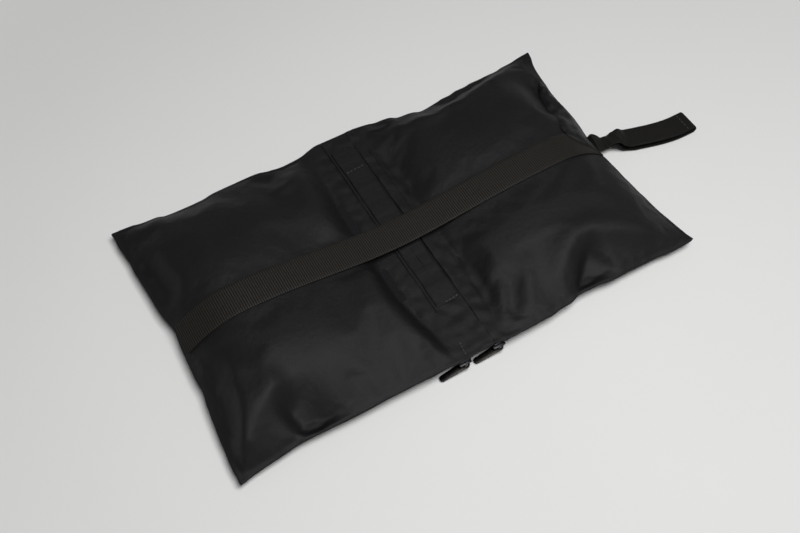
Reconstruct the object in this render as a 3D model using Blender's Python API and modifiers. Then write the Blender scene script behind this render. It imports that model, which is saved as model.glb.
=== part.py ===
"""A two-pouch sandbag trainer, lying flat on its bottom panels.

Metres, +Z up. X runs along the bag towards the end with the hang loop, Y across it, and Z = 0 is what it
lies on. Shapes are worked out about the middle of the centre band, and one empty then carries the whole bag
so that the origin is under the middle of its bounding box. Each pouch folds up about one edge of the band,
and the webbing strap that is sewn into both end seams rises as they do.
"""

import math

import bmesh
import bpy
from mathutils import Matrix, Vector

# Whole bag
BAG_LENGTH = 0.462  # corner to corner
BAG_WIDTH = 0.275
CROWN_HEIGHT = 0.041
CORNER_TOP = 0.011  # height of the seam at the corners
END_SEAM_TOP = 0.0145  # height of the end seam under the strap
SIDE_LIFT = 0.002  # the long seams rise this much at the pouches' middles
END_DRAW = 0.0115  # how far sewing and filling pull the end seam in
SIDE_DRAW = 0.004
FABRIC = 0.0015  # coated cloth with its seam allowance
TOUCH = 0.0003  # gap between pieces that touch
MERGE = 0.00003  # points this close are one
FLANK_POWER = 2.2
END_DRAW_POWER = 2.5
SIDE_DRAW_POWER = 3
END_SEAM_POWER = 1.5

# Top panels, as shares of a pouch's length and half width
RISE_END_SHARE = 0.72
RISE_POWER = 0.75
FALL_START_SHARE = 0.70
SIDE_FALL_START_SHARE = 0.35

# Bottom panels
BOTTOM_RISE_SHARE = 0.22
BOTTOM_FALL_START_SHARE = 0.80
BOTTOM_SIDE_START_SHARE = 0.70
POCKET_POWER = 4
POCKET_SIDE_POWER = 8

# Centre band
BAND_WIDTH = 0.050
BAND_LENGTH = 0.270
BAND_TOP = 0.018
CORE_THICK = 0.0013
CORE_WIDTH = 0.021
STRIP_WIDTH = 0.025
STRIP_THICK = 0.0013
STRIP_FRONT_INSET = 0.055  # from the band's front end
STRIP_REAR_INSET = 0.017
FOLD_AXIS_RISE = 0.002  # the pouches fold about a line this far above the band

# Zips under the band
ZIP_X = 0.0175
ZIP_REAR_INSET = 0.005  # from the band's rear end to the tapes' end
TAPE_THICK = 0.0008
TAPE_REACH = 0.0085  # from the middle of the zip to the inner tape's edge
CHAIN_SLOT = 0.0012  # between the two rows of teeth
TEETH_WIDTH = 0.003
TEETH_THICK = 0.002
STOP_LENGTH = 0.002
STOP_INSET = 0.013  # from the band's rear end
SLIDER_LENGTH = 0.017
SLIDER_WIDTH = 0.012
SLIDER_OVERHANG = 0.0025  # how far the slider's nose stands out past the band's front end
SLIDER_TOP_WIDTH = 0.011
SLIDER_TOP_THICK = 0.001
SLIDER_TOP_LENGTH = 0.015
SLIDER_PLATE = 0.0012
SLIDER_POST_LENGTH = 0.007
BRIDGE_WIDTH = 0.0016
BRIDGE_EYE = 0.0034
BRIDGE_BAR = 0.0012
BRIDGE_LENGTH = 0.0106
BRIDGE_INSET = 0.0007  # from the slider's nose to the bridge's front leg
TAB_LENGTH = 0.026  # from the pivot to the tip
TAB_THICK = 0.0012
TAB_WIDTH = 0.008
TAB_TIP_WIDTH = 0.006
TAB_HOLE = 0.004
TAB_TILT = math.radians(10)

# Strap
STRAP_WIDTH = 0.030
STRAP_THICK = 0.0016
STRAP_MID_TOP = 0.0275  # height of the strap's upper face over the band
STRAP_LIFT = 0.0004  # between the strap's lower face and the cloth
STRAP_LEAVES_X = 0.125  # inside this the strap hangs free across the band
STRAP_LAID_SHARE = 0.45  # share of the half strap's cells that lie on the cloth
STRAP_PIVOT_SHARE = 0.951  # share of the pouch's length at which the strap folds back
SLOPE_STEP_SHARE = 0.0003
STRAP_MID_GAP = 0.0003
STRAP_OPEN_GAP = 0.0032  # clearance at the right end, where the linkage is opened

# Hang loop
LOOP_ROOT_Z = 0.0112
LOOP_ROOT_Y = 0.003
LOOP_ROOT_LENGTH = 0.0042
LOOP_ROOT_WIDTH = 0.022
LOOP_LENGTH = 0.109  # from the pivot to the far end
LOOP_WIDTH = 0.024
LOOP_PINCH_WIDTH = 0.015
LOOP_THICK = 0.0014
LOOP_EYE = 0.0052
LOOP_END_Z = 0.0046  # height of the loop's middle where it lies flat
LOOP_END_Y = -0.015
LOOP_PINCH_SHARE = 0.16
LOOP_FLAT_SHARE = 0.36
LOOP_DRIFT_SHARE = 0.9

# Liners and sand
LINER_INSET = 0.009
LINER_BAND_INSET = 0.015
LINER_THICK = 0.0006
LINER_MOUTH = 0.003
LINER_MOUTH_POWER = 16
LINER_BULGE = 4
TOP_ROOM = 0.0027  # down from the top panel's face to the liner, with the slopes' thicker wall
SAND_GAP = 0.0006
SAND_SHARE = 0.965  # the sand's outline as a share of the liner's
SAND_BULGE = 8
CORNER_ROUND_SHARE = 0.25
CLOSURE_WIDTH = 0.009
CLOSURE_LENGTH = 0.120
CLOSURE_THICK = 0.0016

# Cells of the sheets that make the soft panels
PANEL_CELLS = (20, 16)
BOTTOM_CELLS = (14, 12)
LINER_CELLS = (12, 10)
STRAP_CELLS = (22, 2)
ROOT_CELLS = (4, 2)
LOOP_LEG_CELLS = 18
LOOP_TURN_CELLS = 6
TAB_END_STEPS = 8

# Finishes: linear colour, roughness, metallic
CLOTH = ((0.012, 0.012, 0.014, 1), 0.5, 0)
WEBBING = ((0.020, 0.019, 0.016, 1), 0.8, 0)
TAPE_CLOTH = ((0.008, 0.008, 0.009, 1), 0.9, 0)
NYLON = ((0.008, 0.008, 0.009, 1), 0.5, 0)
STEEL = ((0.55, 0.55, 0.56, 1), 0.25, 1)
DARK_STEEL = ((0.06, 0.06, 0.065, 1), 0.35, 1)
POLYTHENE = ((0.45, 0.47, 0.48, 1), 0.35, 0)
SAND = ((0.50, 0.39, 0.25, 1), 0.95, 0)

HALF_BAND = BAND_WIDTH / 2
FOLD_AXIS_Z = BAND_TOP + FOLD_AXIS_RISE
PANEL_START_X = HALF_BAND + TOUCH / 2
SEAM_DEPTH = 2 * FABRIC + TOUCH  # from the top panel's edge down to the bottom panel's

BAND_END_Y = BAND_LENGTH / 2
STOP_Y = BAND_END_Y - STOP_INSET
SLIDER_NOSE_Y = -BAND_END_Y - SLIDER_OVERHANG

# The layers of the band, from the top down
CORE_TOP = BAND_TOP - FABRIC - TOUCH
LOWER_WEB_TOP = CORE_TOP - CORE_THICK - TOUCH
TAPE_TOP = LOWER_WEB_TOP - FABRIC - TOUCH
TEETH_TOP = TAPE_TOP - TAPE_THICK - TOUCH
PLATE_TOP = TEETH_TOP - TEETH_THICK - TOUCH
POCKET_DROP = BAND_TOP - SEAM_DEPTH - (TAPE_TOP - TAPE_THICK)

parts = bpy.data.collections.new("sandbag_trainer")
guides = bpy.data.collections.new("guides")


def clear_scene():
    for old in list(bpy.data.objects):
        bpy.data.objects.remove(old, do_unlink=True)
    bpy.context.scene.collection.children.link(parts)
    bpy.context.scene.collection.children.link(guides)


def mix(a, b, share):
    return a + (b - a) * share


def finish(obj, look):
    """Gives the object its own material."""
    color, roughness, metallic = look
    material = bpy.data.materials.new(obj.name)
    material.use_nodes = True
    shader = material.node_tree.nodes["Principled BSDF"]
    shader.inputs["Base Color"].default_value = color
    shader.inputs["Roughness"].default_value = roughness
    shader.inputs["Metallic"].default_value = metallic
    obj.data.materials.append(material)


def add_object(name, bm, pivot, collection):
    """Turns a bmesh, placed about the band's middle, into a named object carried by a pivot empty."""
    mesh = bpy.data.meshes.new(name)
    bm.to_mesh(mesh)
    bm.free()
    obj = bpy.data.objects.new(name, mesh)
    collection.objects.link(obj)
    mesh.transform(Matrix.Translation(-pivot.location))
    obj.parent = pivot
    return obj


def add_piece(name, bm, pivot, look):
    obj = add_object(name, bm, pivot, parts)
    finish(obj, look)
    return obj


def add_guide(name, bm, pivot):
    """A shape that is only joined to another, left out of the model."""
    tool = add_object(name, bm, pivot, guides)
    tool.hide_render = True
    tool.display_type = "WIRE"
    return tool


def add_pivot(name, place, parent=None):
    """An empty on a joint's axis, placed about the band's middle."""
    empty = bpy.data.objects.new(name, None)
    empty.empty_display_size = HALF_BAND
    empty.location = place
    parts.objects.link(empty)
    if parent:
        empty.parent = parent
        empty.matrix_parent_inverse = Matrix.Translation(-parent.location)
    return empty


def thicken(obj, thickness):
    """Gives an open surface its wall, on the side away from its normals."""
    wall = obj.modifiers.new("wall", "SOLIDIFY")
    wall.thickness = thickness
    wall.offset = -1
    for face in obj.data.polygons:
        face.use_smooth = True


def sheet(cells, place, flip):
    """A grid whose corners run over 0 to 1 along and -1 to 1 across, laid by place(u, v)."""
    bm = bmesh.new()
    bmesh.ops.create_grid(bm, x_segments=cells[0], y_segments=cells[1], size=1)
    for vertex in bm.verts:
        u = (1 + vertex.co.x) / 2
        vertex.co = place(u, vertex.co.y)
    if flip:
        bmesh.ops.reverse_faces(bm, faces=bm.faces)
    return bm


def block(low, high):
    """A box between two corners."""
    bm = bmesh.new()
    low = Vector(low)
    high = Vector(high)
    bmesh.ops.create_cube(bm, size=1)
    bmesh.ops.scale(bm, vec=high - low, verts=bm.verts)
    bmesh.ops.translate(bm, vec=(low + high) / 2, verts=bm.verts)
    return bm


def union(bm, other):
    mesh = bpy.data.meshes.new("piece")
    other.to_mesh(mesh)
    other.free()
    bm.from_mesh(mesh)
    bpy.data.meshes.remove(mesh)


def bar(x_low, x_high, y_low, y_high, top, thick):
    return block((x_low, y_low, top - thick), (x_high, y_high, top))


# The bag's outline and surfaces. u runs from the band to the end seam, v from the front to the back.


def eased(share):
    """Crowds a grid's rows towards both ends."""
    return (1 - math.cos(math.pi * share)) / 2


def flank(share, start):
    """1 inside start, falling to 0 at the seam."""
    reach = max(0, share - start) / (1 - start)
    return 1 - reach**FLANK_POWER


def end_x(v):
    drawn = BAG_LENGTH / 2 - END_DRAW
    return drawn + END_DRAW * abs(v) ** END_DRAW_POWER


def half_width(u):
    corner = BAG_WIDTH / 2
    if u > 0.5:
        return corner - SIDE_DRAW * (1 - (2 * u - 1) ** SIDE_DRAW_POWER)
    return mix(corner - SIDE_DRAW, BAND_END_Y, (1 - 2 * u) ** 2)


def seam_height(u, v):
    """Height of the top panel's edge, carried across the pouch as a level to rise from."""
    end = mix(END_SEAM_TOP, CORNER_TOP, abs(v) ** END_SEAM_POWER)
    return mix(BAND_TOP, end, u) + SIDE_LIFT * 4 * u * (1 - u) * v * v


def lift(u, v):
    """How full the pouch stands, from 0 at its seams to 1 at its crown."""
    rise = math.sin(math.pi / 2 * min(1, u / RISE_END_SHARE) ** RISE_POWER)
    return rise * flank(u, FALL_START_SHARE) * flank(abs(v), SIDE_FALL_START_SHARE)


def settle(u, v):
    """How far the bottom panel has come down, from 0 at its seams to 1 on the floor."""
    fall = math.sin(math.pi / 2 * min(1, u / BOTTOM_RISE_SHARE))
    return fall * flank(u, BOTTOM_FALL_START_SHARE) * flank(abs(v), BOTTOM_SIDE_START_SHARE)


def top_height(u, v):
    edge = seam_height(u, v)
    return edge + (CROWN_HEIGHT - edge) * lift(u, v)


def bottom_edge(u, v):
    pocket = POCKET_DROP * (1 - u) ** POCKET_POWER * (1 - abs(v) ** POCKET_SIDE_POWER)
    return seam_height(u, v) - SEAM_DEPTH - pocket


def bottom_height(u, v):
    return bottom_edge(u, v) * (1 - settle(u, v))


def add_panels(side, word, pivot):
    def plan(u, v):
        return Vector((side * mix(PANEL_START_X, end_x(v), u), v * half_width(u), 0))

    def top(u, v):
        u = eased(u)
        v = math.sin(math.pi / 2 * v)
        return plan(u, v) + Vector((0, 0, top_height(u, v)))

    def bottom(u, v):
        u = eased(u)
        v = math.sin(math.pi / 2 * v)
        return plan(u, v) + Vector((0, 0, bottom_height(u, v)))

    upper = sheet(PANEL_CELLS, top, side < 0)
    thicken(add_piece(word + "_top_panel", upper, pivot, CLOTH), FABRIC)
    lower = sheet(BOTTOM_CELLS, bottom, side > 0)
    thicken(add_piece(word + "_bottom_panel", lower, pivot, CLOTH), FABRIC)


def pillow(side, cells, grow, upper, lower, mouth):
    """A filled bag: two sheets that meet all round, but for a mouth towards the band.

    upper and lower give the half heights at (u, v) and at r, which is 0 at the middle and 1 at the edge.
    """
    far_u = 1 - LINER_INSET / (end_x(0) - PANEL_START_X)
    near_u = LINER_BAND_INSET / (end_x(0) - PANEL_START_X)
    wide_v = 1 - LINER_INSET / half_width(0.5)

    def place(a, b, sign, half):
        a = math.sin(math.pi / 2 * (2 * a - 1))
        b = math.sin(math.pi / 2 * b)
        r = max(abs(a), abs(b))
        along = grow * a * math.sqrt(1 - CORNER_ROUND_SHARE * b * b)
        v = grow * b * math.sqrt(1 - CORNER_ROUND_SHARE * a * a) * wide_v
        u = mix(near_u, far_u, (1 + along) / 2)
        x = side * mix(PANEL_START_X, end_x(v), u)
        open_by = mouth / 2 * max(0, -a) ** LINER_MOUTH_POWER * (1 - b * b)
        z = seam_height(u, v) - SEAM_DEPTH / 2 + sign * (half(u, v, r) + open_by)
        return Vector((x, v * half_width(u), z))

    bm = sheet(cells, lambda a, b: place(a, b, 1, upper), side < 0)
    under = sheet(cells, lambda a, b: place(a, b, -1, lower), side > 0)
    union(bm, under)
    bmesh.ops.remove_doubles(bm, verts=bm.verts, dist=MERGE)
    return bm


def bulge(r, power):
    return math.sqrt(max(0, 1 - r**power))


def liner_upper(u, v, r):
    """Half height of the liner above its edge, inside the top panel."""
    room = top_height(u, v) - TOP_ROOM - seam_height(u, v) + SEAM_DEPTH / 2
    return max(0, room) * bulge(r, LINER_BULGE)


def liner_lower(u, v, r):
    room = seam_height(u, v) - SEAM_DEPTH / 2 - bottom_height(u, v) - FABRIC - TOUCH
    return max(0, room) * bulge(r, LINER_BULGE)


def sand_half(liner_half):
    def half(u, v, r):
        room = liner_half(u, v, r * SAND_SHARE) - LINER_THICK - SAND_GAP
        return max(0, room) * bulge(r, SAND_BULGE)

    return half


def add_filling(side, word, pivot):
    bm = pillow(side, LINER_CELLS, 1, liner_upper, liner_lower, LINER_MOUTH)
    thicken(add_piece(word + "_liner", bm, pivot, POLYTHENE), LINER_THICK)
    bm = pillow(side, LINER_CELLS, SAND_SHARE, sand_half(liner_upper), sand_half(liner_lower), 0)
    add_piece(word + "_sand_fill", bm, pivot, SAND)
    lip = side * (HALF_BAND + LINER_BAND_INSET - TOUCH)
    back = lip - side * CLOSURE_WIDTH
    top = BAND_TOP - SEAM_DEPTH / 2 + CLOSURE_THICK / 2
    low, high = sorted((lip, back))
    bm = bar(low, high, -CLOSURE_LENGTH / 2, CLOSURE_LENGTH / 2, top, CLOSURE_THICK)
    add_piece(word + "_liner_closure", bm, pivot, TAPE_CLOTH)


# The strap. Its path is the upper face's line in the X-Z plane of the right half.


def crown_line(u):
    """The cloth under the strap's middle: its place and outward normal in the X-Z plane."""
    step = SLOPE_STEP_SHARE
    x = mix(PANEL_START_X, end_x(0), u)
    slope = (top_height(u, 0) - top_height(u - step, 0)) / (step * (end_x(0) - PANEL_START_X))
    return Vector((x, top_height(u, 0))), Vector((-slope, 1)).normalized()


def on_cloth(u, distance):
    point, normal = crown_line(u)
    return point + normal * distance


def strap_pivot():
    """Where the strap folds back over its own sewn root."""
    return on_cloth(STRAP_PIVOT_SHARE, STRAP_LIFT + STRAP_THICK)


def strap_span(share):
    """The free span: a smooth curve from the crown down to its lowest point over the band."""
    u = (STRAP_LEAVES_X - PANEL_START_X) / (end_x(0) - PANEL_START_X)
    start = on_cloth(u, STRAP_LIFT + STRAP_THICK)
    normal = crown_line(u)[1]
    slope = -normal.x / normal.y
    rise = start.y - STRAP_MID_TOP
    a = 3 * rise - slope * start.x
    b = slope * start.x - 2 * rise
    return Vector((start.x * share, STRAP_MID_TOP + a * share**2 + b * share**3))


def add_ribbon(name, side, path, pivot, cells):
    """Webbing whose upper face follows path(t) and which is as wide as the strap."""

    def place(t, v):
        point = path(t)
        return Vector((side * point.x, v * STRAP_WIDTH / 2, point.y))

    ribbon = sheet(cells, place, side < 0)
    thicken(add_piece(name, ribbon, pivot, WEBBING), STRAP_THICK)


def add_strap(pivots):
    leaves = (STRAP_LEAVES_X - PANEL_START_X) / (end_x(0) - PANEL_START_X)
    laid = STRAP_LAID_SHARE

    def half(start_gap):
        gap = start_gap / (end_x(0) - PANEL_START_X)

        def path(t):
            if t > 1 - laid:
                along = eased((t - 1 + laid) / laid / 2) * 2
                return on_cloth(mix(leaves, STRAP_PIVOT_SHARE - gap, along), STRAP_LIFT + STRAP_THICK)
            point = strap_span(t / (1 - laid))
            return Vector((max(point.x, STRAP_MID_GAP / 2), point.y))

        return path

    def root(t):
        gap = TOUCH / (end_x(0) - PANEL_START_X)
        return on_cloth(mix(STRAP_PIVOT_SHARE + gap, 1, t), STRAP_LIFT + STRAP_THICK)

    add_ribbon("strap_left_half", -1, half(TOUCH), pivots["strap_left"], STRAP_CELLS)
    add_ribbon("strap_right_half", 1, half(STRAP_OPEN_GAP), pivots["strap_right"], STRAP_CELLS)
    add_ribbon("left_strap_root", -1, root, pivots["left_pouch"], ROOT_CELLS)
    add_ribbon("right_strap_root", 1, root, pivots["right_pouch"], ROOT_CELLS)


# The hang loop


def loop_root_x():
    return end_x(0) + TOUCH


def loop_pivot():
    """The loop folds up about the upper edge of its sewn root."""
    x = loop_root_x() + LOOP_ROOT_LENGTH + TOUCH / 2
    return Vector((x, LOOP_ROOT_Y, LOOP_ROOT_Z + LOOP_THICK + TOUCH / 2))


def smooth(share):
    share = min(1, max(0, share))
    return share * share * (3 - 2 * share)


def loop_middle(share):
    """Centre, width and eye of the loop at a share of its length."""
    laid = smooth(share / LOOP_FLAT_SHARE)
    y = mix(LOOP_ROOT_Y, LOOP_END_Y, smooth(share / LOOP_DRIFT_SHARE))
    z = mix(LOOP_ROOT_Z, LOOP_END_Z, laid)
    if share < LOOP_PINCH_SHARE:
        width = mix(LOOP_ROOT_WIDTH, LOOP_PINCH_WIDTH, smooth(share / LOOP_PINCH_SHARE))
    else:
        out = (share - LOOP_PINCH_SHARE) / (LOOP_FLAT_SHARE - LOOP_PINCH_SHARE)
        width = mix(LOOP_PINCH_WIDTH, LOOP_WIDTH, smooth(out))
    eye = mix(TOUCH, LOOP_EYE, smooth((share - LOOP_PINCH_SHARE) / LOOP_PINCH_SHARE))
    return y, z, width, eye


def add_loop(pivots):
    thick = 2 * LOOP_THICK + TOUCH
    low = (loop_root_x(), LOOP_ROOT_Y - LOOP_ROOT_WIDTH / 2, LOOP_ROOT_Z - thick / 2)
    high = (loop_root_x() + LOOP_ROOT_LENGTH, LOOP_ROOT_Y + LOOP_ROOT_WIDTH / 2, LOOP_ROOT_Z + thick / 2)
    add_piece("hang_loop_root", block(low, high), pivots["right_pouch"], WEBBING)

    cells = 2 * LOOP_LEG_CELLS + LOOP_TURN_CELLS
    radius = LOOP_EYE / 2
    start = loop_pivot().x + TOUCH / 2
    turn_x = loop_pivot().x + LOOP_LENGTH - radius - LOOP_THICK

    def place(t, v):
        step = t * cells
        if step <= LOOP_LEG_CELLS:
            share = step / LOOP_LEG_CELLS
            y, z, width, eye = loop_middle(share)
            x = mix(start, turn_x, share)
            return Vector((x, y + v * width / 2, z + eye / 2))
        if step >= LOOP_LEG_CELLS + LOOP_TURN_CELLS:
            share = (cells - step) / LOOP_LEG_CELLS
            y, z, width, eye = loop_middle(share)
            x = mix(start, turn_x, share)
            return Vector((x, y + v * width / 2, z - eye / 2))
        angle = math.pi / 2 - math.pi * (step - LOOP_LEG_CELLS) / LOOP_TURN_CELLS
        x = turn_x + radius * math.cos(angle)
        return Vector((x, LOOP_END_Y + v * LOOP_WIDTH / 2, LOOP_END_Z + radius * math.sin(angle)))

    bm = sheet((cells, 2), place, True)
    loop = add_piece("hang_loop", bm, pivots["hang_loop"], WEBBING)
    thicken(loop, LOOP_THICK)


# The band and its zips


def add_band(saddle):
    half = HALF_BAND - TOUCH / 2
    end = BAND_END_Y
    core = CORE_WIDTH / 2
    strip_top = BAND_TOP + TOUCH + STRIP_THICK
    strip_front = STRIP_FRONT_INSET - end
    strip_rear = end - STRIP_REAR_INSET
    add_piece("band_top_web", bar(-half, half, -end, end, BAND_TOP, FABRIC), saddle, CLOTH)
    add_piece("band_core", bar(-core, core, -end, end, CORE_TOP, CORE_THICK), saddle, WEBBING)
    add_piece("band_lower_web", bar(-core, core, -end, end, LOWER_WEB_TOP, FABRIC), saddle, CLOTH)
    strip = bar(-STRIP_WIDTH / 2, STRIP_WIDTH / 2, strip_front, strip_rear, strip_top, STRIP_THICK)
    add_piece("band_strip", strip, saddle, CLOTH)


def add_zip(side, word, pivots):
    middle = side * ZIP_X
    front = -BAND_END_Y
    rear = BAND_END_Y - ZIP_REAR_INSET
    slot = CHAIN_SLOT / 2
    # away from the band's centre, and towards it
    for where, way, reach in (("outer", side, HALF_BAND - TOUCH / 2 - ZIP_X), ("inner", -side, TAPE_REACH)):
        name = f"zip_{word}_{where}"
        near = middle + way * slot
        low, high = sorted((near, middle + way * reach))
        tape = bar(low, high, front, rear, TAPE_TOP, TAPE_THICK)
        add_piece(name + "_tape", tape, pivots["saddle"], TAPE_CLOTH)
        low, high = sorted((near, near + way * TEETH_WIDTH))
        teeth = bar(low, high, front, STOP_Y - TOUCH, TEETH_TOP, TEETH_THICK)
        add_piece(name + "_teeth", teeth, pivots["saddle"], NYLON)
    reach = slot + TEETH_WIDTH
    stop = bar(middle - reach, middle + reach, STOP_Y, STOP_Y + STOP_LENGTH, TEETH_TOP, TEETH_THICK)
    add_piece(f"zip_{word}_rear_stop", stop, pivots["saddle"], DARK_STEEL)
    add_slider(middle, word, pivots[f"zip_{word}_slider"])
    add_tab(middle, word, pivots[f"zip_{word}_tab"])


def bridge_leg_y():
    return SLIDER_NOSE_Y + BRIDGE_INSET + BRIDGE_WIDTH / 2


def add_slider(middle, word, pivot):
    """The body is a U in profile, plates joined by a post between the teeth, with a bridge below."""
    nose = SLIDER_NOSE_Y
    plate_low = PLATE_TOP - SLIDER_PLATE
    top_low = TAPE_TOP + TOUCH
    bar_top = plate_low - BRIDGE_EYE
    bar_low = bar_top - BRIDGE_BAR
    post = CHAIN_SLOT / 2 - TOUCH
    leg = BRIDGE_WIDTH / 2
    front_leg = bridge_leg_y()
    rear_leg = front_leg + BRIDGE_LENGTH - BRIDGE_WIDTH
    name = f"zip_{word}_slider"
    body = block(
        (middle - SLIDER_WIDTH / 2, nose, plate_low),
        (middle + SLIDER_WIDTH / 2, nose + SLIDER_LENGTH, PLATE_TOP),
    )
    slider = add_piece(name, body, pivot, DARK_STEEL)
    extras = (
        (
            (middle - SLIDER_TOP_WIDTH / 2, nose + SLIDER_PLATE, top_low),
            (middle + SLIDER_TOP_WIDTH / 2, nose + SLIDER_PLATE + SLIDER_TOP_LENGTH, top_low + SLIDER_TOP_THICK),
        ),
        (
            (middle - post, nose + SLIDER_PLATE, PLATE_TOP - SLIDER_PLATE / 2),
            (middle + post, nose + SLIDER_PLATE + SLIDER_POST_LENGTH, top_low + SLIDER_TOP_THICK / 2),
        ),
        (
            (middle - leg, front_leg - leg, bar_top - BRIDGE_BAR / 2),
            (middle + leg, front_leg + leg, plate_low + SLIDER_PLATE / 2),
        ),
        (
            (middle - leg, rear_leg - leg, bar_top - BRIDGE_BAR / 2),
            (middle + leg, rear_leg + leg, plate_low + SLIDER_PLATE / 2),
        ),
        (
            (middle - leg - TOUCH, front_leg - leg - TOUCH, bar_low),
            (middle + leg + TOUCH, rear_leg + leg + TOUCH, bar_top),
        ),
    )
    for number, (low, high) in enumerate(extras):
        tool = add_guide(f"{name}_part_{number}", block(low, high), pivot)
        join = slider.modifiers.new("join", "BOOLEAN")
        join.operation = "UNION"
        join.object = tool


def tab_pivot_z():
    return PLATE_TOP - SLIDER_PLATE - BRIDGE_EYE / 2


def add_tab(middle, word, pivot):
    """A flat pull with an eye round the bridge's front leg, lying towards -X with its tip down."""
    curve = bpy.data.curves.new("outline", "CURVE")
    curve.dimensions = "2D"
    curve.fill_mode = "BOTH"
    curve.extrude = TAB_THICK / 2
    head = TAB_WIDTH / 2
    tip = TAB_TIP_WIDTH / 2
    outline = []
    steps = TAB_END_STEPS
    for step in range(steps + 1):
        angle = -math.pi / 2 + math.pi * step / steps
        outline.append((head * math.cos(angle), head * math.sin(angle)))
    for step in range(steps + 1):
        angle = math.pi / 2 + math.pi * step / steps
        outline.append((tip - TAB_LENGTH + tip * math.cos(angle), tip * math.sin(angle)))
    hole = []
    for step in range(2 * steps):
        angle = math.pi * step / steps
        hole.append((TAB_HOLE / 2 * math.cos(angle), TAB_HOLE / 2 * math.sin(angle)))
    for points in (outline, hole):
        line = curve.splines.new("POLY")
        line.points.add(len(points) - 1)
        for point, (x, y) in zip(line.points, points):
            point.co = (x, y, 0, 1)
        line.use_cyclic_u = True
    shape = bpy.data.objects.new("outline", curve)
    parts.objects.link(shape)
    flat = bpy.data.meshes.new_from_object(shape.evaluated_get(bpy.context.evaluated_depsgraph_get()))
    bpy.data.objects.remove(shape)
    bm = bmesh.new()
    bm.from_mesh(flat)
    bpy.data.meshes.remove(flat)
    bmesh.ops.remove_doubles(bm, verts=bm.verts, dist=MERGE)
    turn = Matrix.Translation((middle, bridge_leg_y(), tab_pivot_z())) @ Matrix.Rotation(-TAB_TILT, 4, "Y")
    bm.transform(turn)
    add_piece(f"zip_{word}_pull_tab", bm, pivot, STEEL)


def add_pivots():
    """One empty on each joint's axis, under one for the band, which the whole bag hangs from."""
    x_middle = (loop_pivot().x + LOOP_LENGTH - BAG_LENGTH / 2) / 2
    y_middle = (BAG_WIDTH / 2 + bridge_leg_y() - TAB_WIDTH / 2) / 2
    stance = add_pivot("floor_middle", Vector((0, 0, 0)))
    stance.location = (-x_middle, -y_middle, 0)
    saddle = bpy.data.objects.new("band_middle", None)
    parts.objects.link(saddle)
    saddle.parent = stance
    pivots = {"saddle": saddle}
    for side, word in ((-1, "left"), (1, "right")):
        place = Vector((side * HALF_BAND, 0, FOLD_AXIS_Z))
        pivots[word + "_pouch"] = add_pivot(word + "_fold_axis", place, saddle)
    back = strap_pivot()
    pivots["strap_left"] = add_pivot(
        "strap_left_axis", Vector((-back.x, 0, back.y)), pivots["left_pouch"]
    )
    pivots["strap_right"] = add_pivot(
        "strap_right_axis", Vector((0, 0, STRAP_MID_TOP - STRAP_THICK)), pivots["strap_left"]
    )
    pivots["hang_loop"] = add_pivot("hang_loop_axis", loop_pivot(), pivots["right_pouch"])
    for side, word in ((-1, "left"), (1, "right")):
        place = Vector((side * ZIP_X, bridge_leg_y(), tab_pivot_z()))
        slider = add_pivot(f"zip_{word}_travel", place, saddle)
        pivots[f"zip_{word}_slider"] = slider
        pivots[f"zip_{word}_tab"] = add_pivot(f"zip_{word}_tab_axis", place, slider)
    return pivots


def main():
    clear_scene()
    pivots = add_pivots()
    for side, word in ((-1, "left"), (1, "right")):
        pivot = pivots[word + "_pouch"]
        add_panels(side, word, pivot)
        add_filling(side, word, pivot)
        add_zip(side, word, pivots)
    add_band(pivots["saddle"])
    add_strap(pivots)
    add_loop(pivots)


main()
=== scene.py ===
"""Looks of a two-pouch sandbag trainer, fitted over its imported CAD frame.

Metres, +Z up. Shapes are worked out about the middle of the centre band, as in the part's source, and each
finished piece is then moved onto the frame. X runs along the bag, Y across it, Z = 0 is what it lies on.
"""

import math
from bisect import bisect_left
from collections import namedtuple
from functools import lru_cache

import bmesh
import bpy
from mathutils import Matrix, Vector, noise


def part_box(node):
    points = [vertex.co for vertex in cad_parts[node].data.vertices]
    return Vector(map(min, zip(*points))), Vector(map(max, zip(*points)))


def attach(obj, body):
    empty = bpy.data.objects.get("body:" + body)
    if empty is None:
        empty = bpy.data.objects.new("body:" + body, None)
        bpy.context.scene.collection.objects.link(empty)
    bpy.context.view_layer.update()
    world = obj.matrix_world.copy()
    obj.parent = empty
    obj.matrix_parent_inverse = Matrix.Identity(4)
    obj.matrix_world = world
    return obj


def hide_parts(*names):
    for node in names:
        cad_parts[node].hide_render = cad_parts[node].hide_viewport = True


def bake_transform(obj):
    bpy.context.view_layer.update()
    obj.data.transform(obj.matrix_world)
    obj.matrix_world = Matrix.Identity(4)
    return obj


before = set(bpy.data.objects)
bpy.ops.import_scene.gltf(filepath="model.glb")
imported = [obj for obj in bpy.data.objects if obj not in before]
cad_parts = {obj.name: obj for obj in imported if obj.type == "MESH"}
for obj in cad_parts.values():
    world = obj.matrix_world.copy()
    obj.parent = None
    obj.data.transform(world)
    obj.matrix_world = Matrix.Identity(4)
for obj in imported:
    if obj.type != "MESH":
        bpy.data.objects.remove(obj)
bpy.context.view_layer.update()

# Sizes repeated from the part's source
BAG_LENGTH = 0.462
BAG_WIDTH = 0.275
CROWN_HEIGHT = 0.041
CORNER_TOP = 0.011
END_SEAM_TOP = 0.0145
SIDE_LIFT = 0.002
END_DRAW = 0.0115
SIDE_DRAW = 0.004
FLANK_POWER = 2.2
END_DRAW_POWER = 2.5
SIDE_DRAW_POWER = 3
END_SEAM_POWER = 1.5
RISE_END_SHARE = 0.72
RISE_POWER = 0.75
FALL_START_SHARE = 0.70
SIDE_FALL_START_SHARE = 0.35
BOTTOM_RISE_SHARE = 0.22
BOTTOM_FALL_START_SHARE = 0.80
BOTTOM_SIDE_START_SHARE = 0.70
POCKET_DROP = 0.0027
POCKET_POWER = 4
POCKET_SIDE_POWER = 8
SEAM_DEPTH = 0.0033
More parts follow.
